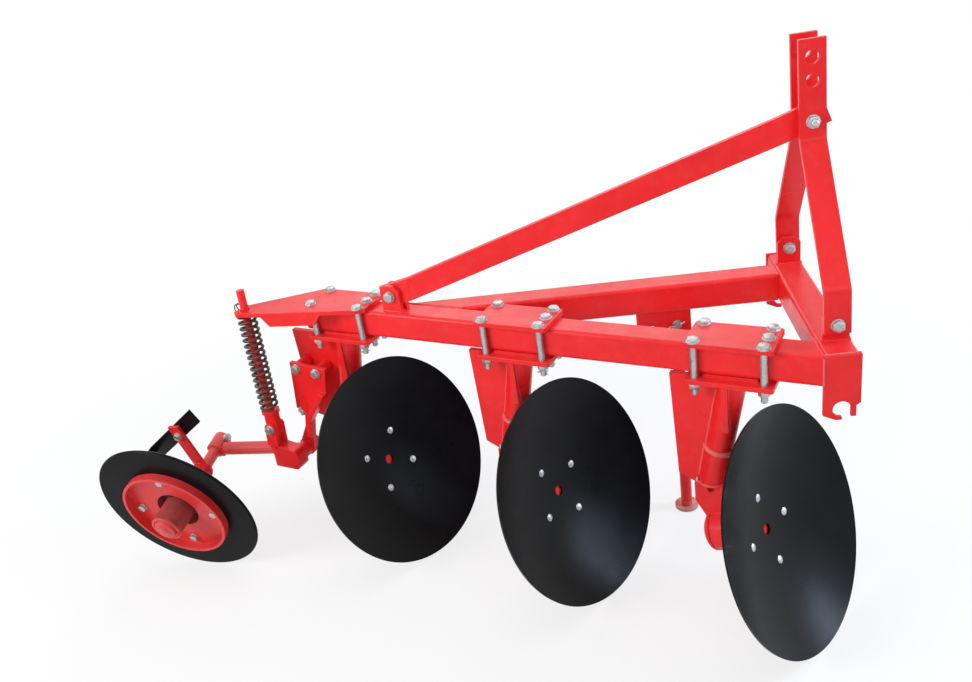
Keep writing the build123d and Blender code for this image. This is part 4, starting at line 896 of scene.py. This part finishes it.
for way in ways:
    ends = [stand_pin + way * STAND_FACE + stand_run * end for end in (STAND_FROM, STAND_TO)]
    for end in ends:
        end.z = BEAM_LOW
    frame_seams.append(seam(*ends, way, STAND_BEAD))
plate_z = BEAM_TOP - PLATE_SUNK
plate_low, plate_high = corners("hitch_plate_left")
ends = [Vector((x, plate_low.y, plate_z)) for x in (plate_low.x, plate_high.x)]
frame_seams.append(seam(*ends, UP, PLATE_BEAD))
fit("frame_welds", "frame", "red_paint", frame_seams)
plate_low, plate_high = corners("hitch_plate_right")
hitch_corner = at_clamp(1, HITCH_AHEAD, HALF_BEAM, BEAM_LOW)
ends = [Vector((x, plate_high.y, plate_z)) for x in (plate_low.x, plate_high.x)]
fit("hitch_welds", "frame", "red_paint", [
    seam(*ends, UP, PLATE_BEAD),
    seam(hitch_corner + UP * CORNER_FROM, hitch_corner + UP * CORNER_TO, OUT, CORNER_BEAD),
], CHALKY_RED)

# Weld beads on each leg: round the tube, along its plate, its rib and at the foot
LEAN = math.radians(11.0)
LEG_OUT = -24.0
TUBE_R, SLEEVE_R = 28.5, 30.5
SLEEVE_AT, FOOT_AT = 169.7, 253.7
LEG_HALF_PLATE = 6.0
NIPPLE_BACK, NIPPLE_OUT, NIPPLE_SUNK = 0.0295, 0.018, 0.0008
RIB_FROM, RIB_HALF, RIB_DROP, RIB_OUT = 9.0, 6.0, 108.0, 35.5
TUBE_SEAM, SLEEVE_SEAM = (6.0, 164.0), (176.0, 250.0)
HEM_FROM, HEM_TO = 0.029, 0.087
RING_PROUD, SLEEVE_PROUD = 1, 0.6
FLANK_BEAD, RIB_BEAD, SLEEVE_BEAD = 6.5, 5.0, 11.5
leg_way = ALONG * math.sin(LEAN) - UP * math.cos(LEAN)
leg_back = ALONG * math.cos(LEAN) + UP * math.sin(LEAN)
for unit in UNITS:
    top = at_clamp(unit, 0.0, LEG_OUT + HALF_BEAM, LEG_TOP)
    foot = top + leg_way * FOOT_AT * MM
    seams = [ring_seam(top, UP, TUBE_R + RING_PROUD), ring_seam(foot, UP, SLEEVE_R + RING_PROUD)]
    for side in (-1, 1):
        flank = top + OUT * side * LEG_HALF_PLATE * MM
        out_and_back = OUT * side + leg_back
        for radius, run in ((TUBE_R, TUBE_SEAM), (SLEEVE_R, SLEEVE_SEAM)):
            off = leg_back * math.sqrt(radius ** 2 - LEG_HALF_PLATE ** 2) * MM
            ends = [flank + off + leg_way * end * MM for end in run]
            seams.append(seam(*ends, out_and_back, FLANK_BEAD))
        seams.append(seam(flank + ALONG * HEM_FROM, flank + ALONG * HEM_TO, OUT * side - UP))
        edge = RIB_FROM + side * RIB_HALF
        high = math.sqrt(TUBE_R ** 2 - edge ** 2)
        low = math.sqrt(TUBE_R ** 2 - (edge - RIB_DROP * math.tan(LEAN)) ** 2)
        rib_top = top + (ALONG * edge + OUT * high) * MM
        rib_low = top + (ALONG * edge + OUT * low - UP * RIB_DROP) * MM
        seams.append(seam(rib_top, rib_low, ALONG * side + OUT, RIB_BEAD))
        rib_edge = top + (ALONG * edge + OUT * RIB_OUT) * MM
        seams.append(seam(rib_top, rib_edge, ALONG * side - UP, RIB_BEAD))
    fit("leg_welds_%d" % unit, "frame", "red_paint", seams, DUSTY_RED)
    nipple = foot + ALONG * NIPPLE_BACK + OUT * NIPPLE_OUT - UP * NIPPLE_SUNK
    fit("housing_nipple_%d" % unit, "frame", "zinc", [(NIPPLE, [seat(nipple, UP)])])
    sleeve = top + leg_way * SLEEVE_AT * MM
    fit("sleeve_weld_%d" % unit, "frame", "red_paint", [
        ring_seam(sleeve, leg_way, TUBE_R + SLEEVE_PROUD, SLEEVE_BEAD),
    ], CHALKY_RED)

# Weld beads at the tail: barrel, arm, socket, scraper collar and the plate's rib
ARM_START = (223.0, 90.0, 0.252)
ARM_R = 17.0
ARM_IN, SOCKET_BACK = 0.0006, 0.0205
ARM_PROUD, SOCKET_PROUD, BARREL_PROUD = 0.4, 0.6, 0.5
ARM_BEAD, SOCKET_BEAD, COLLAR_BEAD = 5.5, 7.0, 5.0
COLLAR_R = 24.5
BARREL_INNER = 22.0
RIB_SEAM, RIB_INSET, RIB_LIFT = (0.100, 0.243), 0.010, 0.0003
arm_start = by_tail(*ARM_START)
arm_way = (socket - arm_start).normalized()
barrel = [by_tail(PIVOT[0], out, PIVOT[1] * MM) for out in (BRACKET_OUT, BARREL_INNER)]
RIB_EDGE = ((-70.5, 17.5), (232.0, 98.0))
edge_start, edge_end = [by_tail(back, out, BEAM_TOP + RIB_LIFT) for back, out in RIB_EDGE]
edge_way = (edge_end - edge_start).normalized()
inward = edge_way.cross(UP)
rib_ends = [edge_start + edge_way * end + inward * RIB_INSET for end in RIB_SEAM]
fit("tail_welds", "frame", "red_paint", [
    ring_seam(barrel[0], OUT, BARREL_R + BARREL_PROUD), ring_seam(barrel[1], OUT, BARREL_R + BARREL_PROUD),
    ring_seam(arm_start + arm_way * ARM_IN, arm_way, ARM_R + ARM_PROUD, ARM_BEAD),
    ring_seam(socket - arm_way * SOCKET_BACK, arm_way, ARM_R + SOCKET_PROUD, SOCKET_BEAD),
    ring_seam(by_wheel(0, 0, SCRAPER_FRONT), wheel_face, COLLAR_R, COLLAR_BEAD),
    seam(*rib_ends, inward),
])
